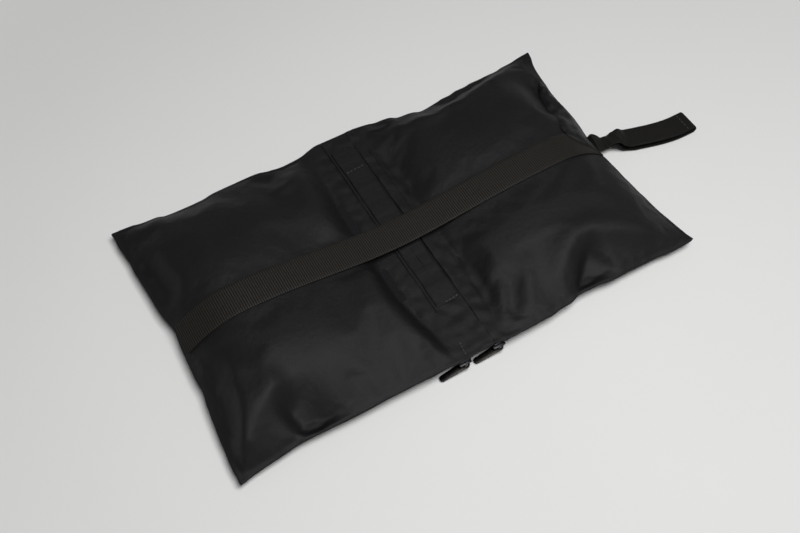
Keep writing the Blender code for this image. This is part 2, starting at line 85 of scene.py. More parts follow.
PANEL_START_X = 0.02515
BAND_END_Y = 0.135
BAND_TOP = 0.018
STRAP_WIDTH = 0.030
STRAP_THICK = 0.0016
STRAP_MID_TOP = 0.0275
STRAP_LIFT = 0.0004
STRAP_LEAVES_X = 0.125
LOOP_ROOT_Z = 0.0112
LOOP_ROOT_Y = 0.003
LOOP_ROOT_WIDTH = 0.022
LOOP_LENGTH = 0.109
LOOP_WIDTH = 0.024
LOOP_PINCH_WIDTH = 0.015
LOOP_THICK = 0.0014
LOOP_EYE = 0.0052
LOOP_END_Z = 0.0046
LOOP_END_Y = -0.015
LOOP_PINCH_SHARE = 0.16
LOOP_FLAT_SHARE = 0.36
LOOP_DRIFT_SHARE = 0.9

# Camera, solved from the bag's corners in the picture, about the band's middle
CAMERA_PLACE = Vector((-0.2654, -0.4183, 0.7467))
CAMERA_YAW = math.radians(32.16)
CAMERA_PITCH = math.radians(57.65)
CAMERA_ROLL = math.radians(2.07)
CAMERA_LENS = 42.85
CAMERA_SENSOR = 36

# Stage
BACKDROP = "#dededd"
FLOOR_REACH = 4
FLOOR_FADE = (0.35, 1.1)  # from the bag, where the floor passes into the backdrop
BACKDROP_TOP = 0.08  # height on the unit sphere where the pale backdrop ends
CEILING = "#38383a"
CEILING_START = 0.30
FILL = 0.10
KEY_PLACE = (0.12, -0.42, 1.45)
KEY_SIZE = (0.9, 0.7)
KEY_POWER = 22

# The covers' cloth
COVER_CELLS = (84, 112)
CROWDING = 0.45  # how far a grid's rows crowd towards the seams
LAP_X = 0.0125  # the two covers meet here, under the strip's right edge
LIP_X = 0.0212  # the bottom panels' inner edge, above the zip tapes
LIP_TOP = 0.0131
LIP_UNDER = 0.0165  # lower face of the cloth over the band
SHELF_START = 0.1  # shares of the seam's rings: the cloth runs back under the band, then drops to the lip
SHELF_RUN = 0.8
SHELF_END = 0.85
SHELF_FALL = 0.15
LAP_RISE = 0.0006  # the right cover's cloth lies on the left one's
LAP_FADE = 0.012
MERGE = 0.00002

# Turned seam round each cover: share of the way down, how far out
SEAM_RINGS = (
    (0.10, 0.0006), (0.28, 0.0009), (0.42, 0.0004), (0.50, -0.0004), (0.58, 0.0003), (0.78, 0.0007),
    (0.93, 0.0004), (1, 0),
)

Fold = namedtuple("Fold", "path height left right crisp")
TENTHS = 10000  # of a millimetre in a metre

band_low, band_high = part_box("band_top_web")
BAND_MIDDLE = Vector(((band_low.x + band_high.x) / 2, (band_low.y + band_high.y) / 2, 0))


def mix(a, b, share):
    return a + (b - a) * share


def clamp(value):
    return min(1, max(0, value))


def smooth(share):
    share = clamp(share)
    return share * share * (3 - 2 * share)


# Making pieces


def add_object(name, data):
    made = bpy.data.objects.new(name, data)
    bpy.context.scene.collection.objects.link(made)
    return made


def add_piece(name, bm, material):
    """Turns a bmesh, placed about the band's middle, into a smooth-shaded piece on the frame."""
    mesh = bpy.data.meshes.new(name)
    bmesh.ops.recalc_face_normals(bm, faces=bm.faces)
    bmesh.ops.translate(bm, vec=BAND_MIDDLE, verts=bm.verts)
    for face in bm.faces:
        face.smooth = True
    bm.to_mesh(mesh)
    bm.free()
    piece = add_object(name, mesh)
    mesh.materials.append(material)
    return piece


def grid_points(bm, cells):
    return bmesh.ops.create_grid(bm, x_segments=cells[0], y_segments=cells[1], size=1)["verts"]


def flip_faces(bm, points):
    bmesh.ops.reverse_faces(bm, faces=list({f for v in points for f in v.link_faces}))


def merge(bm):
    bmesh.ops.remove_doubles(bm, verts=bm.verts, dist=MERGE)


def add_halves(bm, cells, place, flip_upper):
    """Two sheets that meet at their rims: points from -1 to 1 go to place(x, y, upper)."""
    for upper in (True, False):
        points = grid_points(bm, cells)
        for vertex in points:
            vertex.co = place(vertex.co.x, vertex.co.y, upper)
        if upper == flip_upper:
            flip_faces(bm, points)
    merge(bm)


def round_edges(bm, edges, offset, segments=2):
    bmesh.ops.bevel(
        bm,
        geom=edges,
        offset=offset,
        offset_type="OFFSET",
        affect="EDGES",
        segments=segments,
        profile=0.5,
        material=-1,
    )


def subdivide(piece, levels=1):
    """Rounds the piece and keeps the result in its mesh."""
    rounder = piece.modifiers.new("rounding", "SUBSURF")
    rounder.levels = levels
    rounder.render_levels = levels
    apply_modifiers(piece)


def apply_modifiers(piece):
    graph = bpy.context.evaluated_depsgraph_get()
    mesh = bpy.data.meshes.new_from_object(piece.evaluated_get(graph))
    piece.modifiers.clear()
    piece.data = mesh


# Materials


def srgb(code):
    """A hex colour such as #1b1c1e as linear RGBA."""
    shares = [int(code[place : place + 2], 16) / 255 for place in (1, 3, 5)]
    linear = [s / 12.92 if s <= 0.04045 else ((s + 0.055) / 1.055) ** 2.4 for s in shares]
    return (*linear, 1)


def set_inputs(tree, node, inputs):
    """Gives each input a value, or links it to the socket of another node."""
    for name, value in inputs.items():
        if isinstance(value, bpy.types.NodeSocket):
            tree.links.new(value, node.inputs[name])
        else:
            node.inputs[name].default_value = value


def add_node(tree, kind, inputs, **settings):
    node = tree.nodes.new(kind)
    for name, value in settings.items():
        setattr(node, name, value)
    set_inputs(tree, node, inputs)
    return node


def new_material(name, uv_map=None):
    """A material, its tree, and the places on the piece or on its UV map."""
    material = bpy.data.materials.new(name)
    material.use_nodes = True
    tree = material.node_tree
    if uv_map:
        place = add_node(tree, "ShaderNodeUVMap", {}, uv_map=uv_map).outputs["UV"]
    else:
        place = add_node(tree, "ShaderNodeTexCoord", {}).outputs["Object"]
    return material, tree, place


def shade(material, **inputs):
    """Sets the shader's inputs, named with _ for each space."""
    tree = material.node_tree
    spaced = {name.replace("_", " "): value for name, value in inputs.items()}
    set_inputs(tree, tree.nodes["Principled BSDF"], spaced)
    return material


WAVE_TURN = math.pi / 10  # a wave texture of scale 1 repeats after this much


def wave(tree, place, axis, spacing, wobble=0):
    """Threads or ribs that repeat every spacing metres across an axis."""
    inputs = {"Vector": place, "Scale": WAVE_TURN / spacing, "Distortion": wobble, "Detail Scale": 1}
    return add_node(tree, "ShaderNodeTexWave", inputs, bands_direction=axis).outputs["Fac"]


def grain(tree, place, size, detail=3):
    """Soft random patches about as wide as size."""
    inputs = {"Vector": place, "Scale": 1 / size, "Detail": detail}
    return add_node(tree, "ShaderNodeTexNoise", inputs).outputs["Fac"]


def ramp(tree, share, low, high):
    """Spreads a share over low to high, as a value."""
    inputs = {"Value": share, "To Min": low, "To Max": high}
    return add_node(tree, "ShaderNodeMapRange", inputs).outputs["Result"]


def blend_colours(tree, share, a, b):
    inputs = {"Factor": share, 6: srgb(a), 7: srgb(b)}
    return add_node(tree, "ShaderNodeMix", inputs, data_type="RGBA").outputs[2]


def bump(tree, height, distance, strength=1, normal=None):
    inputs = {"Height": height, "Distance": distance, "Strength": strength}
    if normal:
        inputs["Normal"] = normal
    return add_node(tree, "ShaderNodeBump", inputs).outputs["Normal"]


def maths(tree, operation, a, b):
    return add_node(tree, "ShaderNodeMath", {0: a, 1: b}, operation=operation).outputs[0]


def multiply(tree, a, b):
    return maths(tree, "MULTIPLY", a, b)


def make_coated_nylon():
    """Oxford nylon under a polyurethane coat, calendered: a fine even weave beneath a soft satin sheen."""
    material, tree, place = new_material("coated_oxford_nylon")
    colour = blend_colours(tree, grain(tree, place, 0.045), "#09090b", "#0f0f11")
    rough = ramp(tree, grain(tree, place, 0.02), 0.55, 0.63)
    # 0.5 mm threads, drawn at 0.9 mm so that they show
    threads = [wave(tree, place, axis, 0.0009, 0.4) for axis in "XY"]
    # fine crumple of the coat, a few millimetres across
    crumple = bump(tree, grain(tree, place, 0.005, 5), 0.0008, 0.45)
    weave = bump(tree, multiply(tree, *threads), 0.00012, 0.8, crumple)
    shade(material, Base_Color=colour, Roughness=rough, Normal=weave)
    return shade(material, IOR=1.5, Specular_IOR_Level=0.27)


def make_webbing(name, dark, light, rib):
    """Polypropylene webbing, ribbed across: matt, with a hard little gleam along each rib."""
    material, tree, place = new_material(name, "weave")
    across = wave(tree, place, "X", rib)
    yarns = wave(tree, place, "Y", 0.0011, 0.6)
    # painted shade in the grooves between the ribs and a painted highlight on their crests, with random tone
    # from the grain
    rib_shade_and_grain = multiply(tree, across, ramp(tree, grain(tree, place, 0.004), 0.6, 1.3))
    colour = blend_colours(tree, rib_shade_and_grain, dark, light)
    rough = ramp(tree, across, 0.75, 0.5)
    weave = bump(tree, yarns, 0.00012, 0.6, bump(tree, across, 0.0002, 0.5))
    shade(material, Base_Color=colour, Roughness=rough, Normal=weave)
    return shade(material, IOR=1.49, Specular_IOR_Level=0.15)


def make_thread(name, dark, light):
    """Bonded polyester thread: twisted, with a faint gleam."""
    material, tree, place = new_material(name)
    colour = blend_colours(tree, grain(tree, place, 0.01), dark, light)
    twist = bump(tree, wave(tree, place, "DIAGONAL", 0.0005), 0.0001)
    return shade(material, Base_Color=colour, Roughness=0.5, Normal=twist, IOR=1.5, Specular_IOR_Level=0.3)


def make_zip_tape():
    """Polyester zip tape: a dull herringbone."""
    material, tree, place = new_material("polyester_zip_tape")
    threads = multiply(tree, wave(tree, place, "DIAGONAL", 0.0012), wave(tree, place, "Y", 0.0008))
    # the colour follows the weave's height: painted shade in its hollows, and lighter raised threads
    colour = blend_colours(tree, threads, "#0f0f10", "#1d1d1f")
    weave = bump(tree, threads, 0.0001)
    return shade(material, Base_Color=colour, Roughness=0.85, Normal=weave, IOR=1.5, Specular_IOR_Level=0.15)


def make_moulded_nylon():
    """Nylon wire of the coil: black, with a soft gleam on every loop."""
    material, tree, place = new_material("moulded_nylon_coil")
    speckle = grain(tree, place, 0.001)
    colour = blend_colours(tree, speckle, "#101011", "#1a1a1c")
    rough = ramp(tree, speckle, 0.3, 0.45)
    return shade(material, Base_Color=colour, Roughness=rough, IOR=1.53, Specular_IOR_Level=0.5)


def make_zinc(name, dark, light, rough):
    """Plated zinc casting: clean metal, duller where fingers and cloth have rubbed it."""
    material, tree, place = new_material(name)
    rubbed = grain(tree, place, 0.004)
    colour = blend_colours(tree, rubbed, dark, light)
    worn = ramp(tree, rubbed, rough, rough + 0.2)
    cast = bump(tree, grain(tree, place, 0.0006), 0.00003)
    return shade(material, Base_Color=colour, Roughness=worn, Normal=cast, Metallic=1)


def make_polythene():
    """Blown polythene film: milky and slightly see-through, with a slack shine."""
    material, tree, place = new_material("blown_polythene_film")
    haze = grain(tree, place, 0.02)
    colour = blend_colours(tree, haze, "#b9bcbd", "#d2d4d4")
    rough = ramp(tree, haze, 0.25, 0.4)
    slack = bump(tree, grain(tree, place, 0.008), 0.0006)
    shade(material, Base_Color=colour, Roughness=rough, Normal=slack)
    return shade(material, IOR=1.51, Specular_IOR_Level=0.5, Transmission_Weight=0.3)


def make_sand():
    """Dry washed sand: pale grains with a few dark ones."""
    material, tree, place = new_material("washed_sand")
    # 0.5 mm grains, drawn at 1.2 mm so that they show
    cells = add_node(tree, "ShaderNodeTexVoronoi", {"Vector": place, "Scale": 1 / 0.0012}).outputs
    pick = add_node(tree, "ShaderNodeSeparateColor", {0: cells["Color"]}).outputs[0]
    colour = blend_colours(tree, pick, "#8f7752", "#d3c09a")
    grains = bump(tree, cells["Distance"], 0.0004)
    return shade(material, Base_Color=colour, Roughness=0.95, Normal=grains, Specular_IOR_Level=0.3)


def make_hook_tape():
    """Hook-and-loop tape: a dull napped face."""
    material, tree, place = new_material("hook_and_loop_tape")
    nap = grain(tree, place, 0.0007, 5)
    colour = blend_colours(tree, nap, "#0d0d0e", "#242426")
    hooks = bump(tree, nap, 0.0006)
    return shade(material, Base_Color=colour, Roughness=0.95, Normal=hooks, Specular_IOR_Level=0.1)


def paint_node(name, material):
    """Gives a CAD node that stays its finish."""
    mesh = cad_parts[name].data
    mesh.materials.clear()
    mesh.materials.append(material)


# The bag's outline and surfaces. u runs from the band to the end seam, v from the front to the back.


def eased(share):
    return (1 - math.cos(math.pi * share)) / 2


def flank(share, start):
    """1 inside start, falling to 0 at the seam."""
    return 1 - (max(0, share - start) / (1 - start)) ** FLANK_POWER


def end_x(v):
    return BAG_LENGTH / 2 - END_DRAW + END_DRAW * abs(v) ** END_DRAW_POWER


def half_width(u):
    corner = BAG_WIDTH / 2
    u = clamp(u)
    if u > 0.5:
        return corner - SIDE_DRAW * (1 - (2 * u - 1) ** SIDE_DRAW_POWER)
    return mix(corner - SIDE_DRAW, BAND_END_Y, (1 - 2 * u) ** 2)


def seam_height(u, v):
    u = clamp(u)
    end = mix(END_SEAM_TOP, CORNER_TOP, abs(v) ** END_SEAM_POWER)
    return mix(BAND_TOP, end, u) + SIDE_LIFT * 4 * u * (1 - u) * v * v


def settle(u, v):
    fall = math.sin(math.pi / 2 * clamp(u / BOTTOM_RISE_SHARE))
    return fall * flank(u, BOTTOM_FALL_START_SHARE) * flank(abs(v), BOTTOM_SIDE_START_SHARE)


def bottom_edge(u, v):
    pocket = POCKET_DROP * (1 - clamp(u)) ** POCKET_POWER * (1 - abs(v) ** POCKET_SIDE_POWER)
    return seam_height(u, v) - SEAM_DEPTH - pocket


def bottom_height(u, v):
    return bottom_edge(u, v) * (1 - settle(u, v))


# Folds of the cloth: height above or below the plain surface, reach to the left and right of its line, how
# sharp its ridge or its bottom is, and the line on the bag. All but the sharpness in tenths of a millimetre.


def fold(height, left, right, crisp, *path):
    points = [(x / TENTHS, y / TENTHS) for x, y in path]
    return Fold(points, height / TENTHS, left / TENTHS, right / TENTHS, crisp)


LEFT_FOLDS = (
    # ridge that runs up from the front corner
    fold(66, 170, 120, 0, (-2260, -1310), (-2060, -1080), (-1920, -960), (-1750, -885), (-1550, -900)),
    # where the top turns down to the end seam, and the slope below it
    fold(48, 120, 62, 0.3, (-1930, -300), (-1973, -615), (-2022, -795), (-2076, -966), (-2186, -1198),
         (-2290, -1380)),
    fold(-36, 80, 80, 0, (-2095, -280), (-2130, -550), (-2165, -780), (-2210, -1000), (-2260, -1200)),
    fold(14, 40, 60, 0, (-2185, -220), (-2180, -340), (-2165, -460)),
    # dent between the ridge and the front seam
    fold(-110, 280, 100, 0, (-1745, -860), (-1705, -1000), (-1665, -1120), (-1610, -1250),
         (-1540, -1450), (-1470, -1650)),
    # soft lobe down the front
    fold(-24, 110, 110, 0, (-1200, -1300), (-1130, -1140), (-1070, -1000)),
    # valley beside the band at the front, and the full flank outside it
    fold(-46, 50, 60, 0.3, (-330, 1280), (-360, 880), (-375, 600), (-380, 200), (-395, -200),
         (-385, -540), (-365, -740), (-325, -940), (-280, -1140), (-220, -1340)),
    fold(86, 75, 210, 0.1, (-500, 100), (-515, -240), (-510, -580), (-465, -860), (-395, -1120),
         (-310, -1360)),
    # the flank at the back
    fold(64, 95, 200, 0.1, (-480, 1220), (-550, 880), (-570, 520), (-520, 100)),
    # fold and hollow behind the notch in the back seam
    fold(30, 80, 90, 0.2, (-420, 1290), (-560, 1100), (-680, 980), (-900, 880)),
    fold(-30, 90, 80, 0.1, (-960, 1280), (-840, 1160), (-740, 1100)),
    # slack end at the back corner, and a fold along the back seam
    fold(18, 80, 80, 0.2, (-1900, 180), (-1945, 450), (-2010, 720), (-2110, 980), (-2250, 1260)),
    fold(-56, 110, 90, 0, (-2085, 260), (-2120, 520), (-2165, 780), (-2225, 1040)),
    fold(24, 90, 110, 0.1, (-2260, 1330), (-1960, 1280), (-1620, 1140), (-1140, 1080)),
)
RIGHT_FOLDS = (
    # sharp crease at the front, hooked over at its top
    fold(-98, 260, 52, 0, (1500, -970), (1380, -1020), (1270, -1090), (1180, -1185), (1100, -1300),
         (1020, -1440), (950, -1600)),
    # the ridge round it, which runs on to the corner
    fold(60, 160, 90, 0, (800, -1310), (980, -1130), (1140, -970), (1300, -895), (1470, -905),
         (1760, -1040), (2040, -1180), (2290, -1310)),
    # upright pucker nearer the band
    fold(-19, 80, 80, 0, (630, -860), (520, -1040), (370, -1290)),
    fold(10, 60, 60, 0, (500, -820), (410, -1020), (270, -1260)),
    fold(12, 70, 70, 0, (770, -880), (660, -1080), (510, -1310)),
    # valleys between the band and the pouch
    fold(-24, 60, 60, 0.1, (340, -280), (360, -600), (340, -900), (300, -1180)),
    fold(26, 120, 90, 0, (520, -300), (540, -620), (500, -900)),
    fold(-32, 90, 70, 0.1, (320, 1040), (360, 760), (370, 480), (360, 240)),
    # crest along the back, and the slack behind it
    fold(54, 80, 120, 0.3, (360, 1240), (600, 1100), (940, 1030), (1280, 1040), (1600, 1120),
         (1900, 1200), (2300, 1360)),
    fold(-44, 70, 60, 0.2, (1000, 1190), (1260, 1210), (1520, 1260), (1860, 1330)),
    fold(-24, 60, 60, 0.2, (300, 1310), (460, 1210), (600, 1180)),
    # slack end before the back corner
    fold(-80, 80, 170, 0, (2150, 1160), (2080, 880), (2030, 600), (2000, 300)),
    # the front half of the end is drawn straight
    fold(16, 110, 110, 0, (2050, -300), (2080, -600), (2140, -900), (2220, -1150)),
)
FOLD_TAPER = 0.28
FOLD_FADE = 0.010  # folds die out over this much beside a seam
FOLD_END = 3  # a fold is left out past this many of its reaches
CRISP_FALL = 1.4
CRISP_TIP = 0.02
CRISP_LEVEL = 0.2


def beside(point, path):
    """How far a point lies from a line, to its left or not, and at what share of its length."""
    nearest = None
    covered = 0
    for start, end in zip(path, path[1:]):
        a = Vector(start)
        run = Vector(end) - a
        share = clamp((point - a).dot(run) / run.length_squared)
        away = point - a - run * share
        if nearest is None or away.length < nearest[0]:
            nearest = (away.length, run.cross(away) > 0, covered + share * run.length)
        covered += run.length
    return nearest[0], nearest[1], nearest[2] / covered


def fold_height(point, folds):
    total = 0
    for form in folds:
        gap, is_left, share = beside(point, form.path)
        reach = gap / (form.left if is_left else form.right)
        if reach > FOLD_END:
            continue
        rounded = math.exp(-reach * reach)
        sharp = math.exp(-CRISP_FALL * math.sqrt(reach * reach + CRISP_TIP) + CRISP_LEVEL)
        ends = smooth(share / FOLD_TAPER) * smooth((1 - share) / FOLD_TAPER)
        total += form.height * ends * mix(rounded, sharp, form.crisp)
    return total


def waver(x, y, z):
    """Smooth random number between about -1 and 1."""
    return noise.noise(Vector((x, y, z)))


def ripple(point, size, seed):
    return waver(point.x / size, point.y / size, seed)


# Covers

PUCKER = 0.0009
PUCKER_SIZE = 0.009
PUCKER_REACH = 0.010
PUCKER_START = 0.002
SEAM_DIP = 0.0004  # the topstitching beside each turned seam sinks into the cloth
SEAM_STITCH = 0.0034
SEAM_STITCH_REACH = 0.0017
SWELL = 0.0011
SWELL_SIZE = 0.045
SWELL_START = 0.006
BODY_SHARE = 0.10
CRINKLE = 0.0009
CRINKLE_SIZE = 0.010
EDGE_WANDER = 0.0005
EDGE_WANDER_SIZE = 0.021
STRAP_ZONE = 0.014
STRAP_ZONE_FADE = 0.014
UNDER_SPAN = 0.55  # how much of a fold stays under the strap where it spans the band
UNDER_SPAN_X = 0.055
SEAM_HOLD = 0.010
STRAP_HOLD = 0.012
BAND_HOLD_SHARE = 0.10
CLOTH_FRAMES = 18
CLOTH_SETTINGS = {
    "quality": 7,
    "mass": 0.25,
    "tension_stiffness": 30,
    "compression_stiffness": 30,
    "shear_stiffness": 8,
    "bending_stiffness": 6,
    "use_pressure": True,
    "uniform_pressure_force": 1.0,
    "shrink_min": -0.004,  # how much larger than its place the cloth is cut
}
CLOTH_TRAVEL = 0.005
CLOTH_LOOSE = 3  # the hold ends past a third of the looseness
SIDE_SEEDS = {-1: 3.1, 1: 8.7}
WAIST = {-1: 0.010, 1: 0.007}  # from the band to where the filling starts, by the strap


# The sewn outline, by side: places along it, and how far it stands out from an even one, in millimetres
END_TRACE = {
    -1: (
        (-135, 0.3), (-124, 3.3), (-110, 4.4), (-94, 5.3), (-79, 5.6), (-64, 5.2), (-50, 3.8),
        (-38, 4.9), (-22, 4.6), (-6, 3.8), (7, 3.2), (15, 1.6), (21, 2.4), (29, 5.0), (39, 6.2),
        (55, 6.1), (72, 6.1), (86, 5.3), (103, 3.7), (119, 3.4), (132, 1.6), (138, 0.8),
    ),
    1: (
        (-134, 4.2), (-119, 4.8), (-106, 4.8), (-94, 4.2), (-80, 4.3), (-60, 3.5), (-38, 3.1),
        (-20, 2.2), (-8, 1.0), (5, 0.8), (17, 2.4), (30, 4.3), (43, 5.2), (57, 4.6), (69, 3.1),
        (83, 2.3), (95, 3.3), (106, 3.4), (118, 3.2), (135, 5.2),
    ),
}
FRONT_TRACE = {
    -1: (
        (25, 0.5), (41, -0.2), (53, 0.6), (82, 0.3), (99, 0.1), (115, 0.6), (130, 0.2), (141, -0.8),
        (154, -1.2), (166, -2.4), (175, -2.8), (185, -1.8), (194, -0.9), (217, -0.7), (230, 0),
    ),
    1: (
        (25, 1.8), (38, 2.5), (49, 3.0), (67, 2.8), (90, 0.9), (111, -2.6), (124, -1.9), (146, -0.2),
        (161, -1.0), (192, -1.0), (206, -0.4), (220, -1.4), (236, -3.5),
    ),
}
BACK_TRACE = {
    -1: (
        (19, 0.6), (31, -4.5), (41, -7.0), (58, -8.6), (71, -5.4), (85, -1.5), (104, -1.4), (125, -1.3),
        (147, -3.4), (172, -3.4), (195, 0.4), (220, 2.0), (232, 1.0),
    ),
    1: (
        (19, 0.6), (30, -0.7), (49, -3.3), (77, -7.8), (98, -11.5), (108, -9.0), (124, -6.7),
        (144, -3.9), (164, -1.8), (183, -1.2), (204, 0.6), (225, 1.6),
    ),
}
TRACE_REACH = 8
TRACE_POWER = 5  # how soon the traced amount dies out inwards
# How far each corner stands up, by side and by front or back
CORNER_RISE = {(-1, -1): 0.0, (-1, 1): 0.0012, (1, -1): 0.0034, (1, 1): 0.0040}
CORNER_POWER = 9


@lru_cache(None)
def follow_at(millimetre, trace):
    """The traced amount at a whole millimetre, from the points nearest to it."""
    shares = [math.exp(-(((millimetre - at) / TRACE_REACH) ** 2)) + 1e-12 for at, amount in trace]
    return sum(share * amount for share, (at, amount) in zip(shares, trace)) / sum(shares) / 1000


def follow(place, trace):
    low = math.floor(place * 1000)
    return mix(follow_at(low, trace), follow_at(low + 1, trace), place * 1000 - low)


def cover_plan(side, u, v):
    """Place on the seam's outline, which wanders a little as sewn cloth does."""
    x = mix(PANEL_START_X, end_x(v), u)
    y = v * half_width(u)
    seed = SIDE_SEEDS[side]
    along = Vector((side * x, y))
    inside = max(0, u)
    corner = (inside * abs(v)) ** CORNER_POWER
    rise = CORNER_RISE[side, 1 if v > 0 else -1]
    wander = EDGE_WANDER * smooth(u * 8)
    bow_x = follow(y, END_TRACE[side]) + wander * ripple(along, EDGE_WANDER_SIZE, seed)
    bow_y = follow(x, BACK_TRACE[side] if v > 0 else FRONT_TRACE[side]) * smooth(u * 20 + 1)
    bow_y += wander * ripple(along, EDGE_WANDER_SIZE, seed + 1)
    x += inside**TRACE_POWER * bow_x
    y += abs(v) ** TRACE_POWER * math.copysign(1, v) * bow_y
    return Vector((side * x, y, corner * rise))


def cover_lift(side, u, v, place):
    """How full the top panel stands. The filling starts a little out from the band, most near the strap."""
    start = PANEL_START_X + WAIST[side] * (1 - min(1, abs(place.y) / BAND_END_Y) ** 2)
    filled = clamp((abs(place.x) - start) / (end_x(v) - start) / RISE_END_SHARE)
    rise = math.sin(math.pi / 2 * filled**RISE_POWER)
    return rise * flank(u, FALL_START_SHARE) * flank(abs(v), SIDE_FALL_START_SHARE)


def cover_top(side, u, v, folds):
    place = cover_plan(side, u, v)
    flat = Vector((place.x, place.y))
    seed = SIDE_SEEDS[side]
    to_seam = min((1 - u) * (end_x(0) - PANEL_START_X), (1 - abs(v)) * half_width(u))
    body = smooth(u / BODY_SHARE)
    free = smooth((abs(place.y) - STRAP_ZONE) / STRAP_ZONE_FADE)
    under_span = UNDER_SPAN * (1 - smooth((abs(place.x) - UNDER_SPAN_X) / UNDER_SPAN_X))
    near_seam = math.exp(-to_seam / PUCKER_REACH) * smooth(to_seam / PUCKER_START)
    away = smooth(to_seam / SWELL_START)
    edge = seam_height(u, v)
    z = edge + (CROWN_HEIGHT - edge) * cover_lift(side, u, v, place)
    z += fold_height(flat, folds) * max(free, under_span) * smooth(to_seam / FOLD_FADE)
    z += body * free * away * SWELL * ripple(flat, SWELL_SIZE, seed + 2)
    z += PUCKER * near_seam * free * ripple(flat, PUCKER_SIZE, seed + 3)
    z += CRINKLE * (1 - body) * free * away * ripple(flat, CRINKLE_SIZE, seed + 4)
    z -= SEAM_DIP * free * smooth(u * 20) * math.exp(-(((to_seam - SEAM_STITCH) / SEAM_STITCH_REACH) ** 2))
    place.z += max(z, edge - POCKET_DROP)
    return place


def cover_under(side, u, v):
    place = cover_plan(side, u, v)
    rise = smooth(1 - u * 40)
    place.z += mix(bottom_height(u, v), LIP_TOP, rise)
    return place


def looseness(u, v):
    """1 where the top panel is free to move on its filling, 0 at seams, band and strap."""
    from_seam = min((1 - u) * (end_x(0) - PANEL_START_X), (1 - abs(v)) * half_width(u))
    from_strap = abs(v) * half_width(u) - STRAP_ZONE
    return smooth(from_seam / SEAM_HOLD) * smooth(from_strap / STRAP_HOLD) * smooth(u / BAND_HOLD_SHARE)


def settle_cloth(cover):
    """Lets the top panel, cut a little large, swell on its filling and buckle into its own small folds."""
    placed = [v.co.copy() for v in cover.data.vertices]
    loose = [entry.value for entry in cover.data.attributes["loose"].data]
    held = cover.vertex_groups.new(name="held")
    for number, share in enumerate(loose):
        held.add([number], 1 - share, "REPLACE")
    cloth = cover.modifiers.new("cloth", "CLOTH")
    for name, value in CLOTH_SETTINGS.items():
        setattr(cloth.settings, name, value)
    cloth.settings.effector_weights.gravity = 0
    cloth.settings.vertex_group_mass = held.name
    cloth.collision_settings.use_collision = False
    cloth.point_cache.frame_end = CLOTH_FRAMES
    for number in range(1, CLOTH_FRAMES + 1):
        bpy.context.scene.frame_set(number)
    apply_modifiers(cover)
    bpy.context.scene.frame_set(1)
    for vertex, start, share in zip(cover.data.vertices, placed, loose):
        move = vertex.co - start
        if move.length > CLOTH_TRAVEL:
            move = move * (CLOTH_TRAVEL / move.length)
        vertex.co = start + move * min(1, share * CLOTH_LOOSE)


def build_cover(word, side, folds, material):
    """A closed cushion of two panels: the top one runs on over the band, and a turned seam joins them."""
    length = end_x(0) - PANEL_START_X
    start_top = (side * LAP_X - PANEL_START_X) / length
    start_under = (LIP_X - PANEL_START_X) / length
    bm = bmesh.new()
    along = bm.verts.layers.float.new("along")
    across = bm.verts.layers.float.new("across")
    loose = bm.verts.layers.float.new("loose")

    def spread(s, t, start):
        u = mix(start, 1, mix(s, eased(s), CROWDING))
        v = mix(t, math.sin(math.pi / 2 * t), CROWDING)
        return u, v

    def top(s, t):
        u, v = spread(s, t, start_top)
        place = cover_top(side, u, v, folds)
        if side > 0:
            place.z += LAP_RISE * smooth((LAP_X + LAP_FADE - place.x) / LAP_FADE)
        return place

    def under(s, t):
        u, v = spread(s, t, start_under)
        return cover_under(side, u, v)

    def seam(s, t, share, out):
        a = top(s, t)
        b = under(s, t)
        place = a.lerp(b, share)
        if s < MERGE:
            shelf = mix(LIP_UNDER, LIP_TOP, smooth((share - SHELF_END) / SHELF_FALL))
            x = mix(a.x, b.x, smooth((share - SHELF_START) / SHELF_RUN))
            place = Vector((x, place.y, min(a.z, shelf)))
        if s > 1 - MERGE:
            place.x += side * out
        if abs(t) > 1 - MERGE:
            place.y += math.copysign(out, t)
        return place

    def grid(place, flip):
        points = grid_points(bm, COVER_CELLS)
        for vertex in points:
            vertex[along] = (1 + vertex.co.x) / 2
            vertex[across] = vertex.co.y
            vertex.co = place(vertex[along], vertex[across])
        if flip:
            flip_faces(bm, points)
        return points

    upper = grid(top, side < 0)
    for vertex in upper:
        u, v = spread(vertex[along], vertex[across], start_top)
        vertex[loose] = looseness(u, v)
    edge = list({e for v in upper for e in v.link_edges if e.is_boundary})
    for share, out in SEAM_RINGS:
        ring = bmesh.ops.extrude_edge_only(bm, edges=edge)["geom"]
        for vertex in ring:
            if isinstance(vertex, bmesh.types.BMVert):
                vertex[loose] = 0
                vertex.co = seam(vertex[along], vertex[across], share, out)
        edge = [e for e in ring if isinstance(e, bmesh.types.BMEdge) and e.is_boundary]
    grid(under, side > 0)
    merge(bm)
    cover = add_piece(word + "_cover", bm, material)
    settle_cloth(cover)
    subdivide(cover)
    return cover


# Webbing

RIB = 0.0022
RIB_HEIGHT = 0.00022
LOOP_RIB = 0.0016
RIB_ROWS = 4
SECTION_POINTS = 28
SELVEDGE_POWER = 16
RIB_END = 0.48  # of the width, where the ribs run out
RIB_END_FADE = 0.03


def section(share):
    """A place on a ribbon's rounded outline: across from -0.5 to 0.5, and up from -1 to 0."""
    across = -math.cos(2 * math.pi * share) / 2
    half = (1 - abs(2 * across) ** SELVEDGE_POWER) / 2
    return across, -0.5 + (half if share < 0.5 else -half)


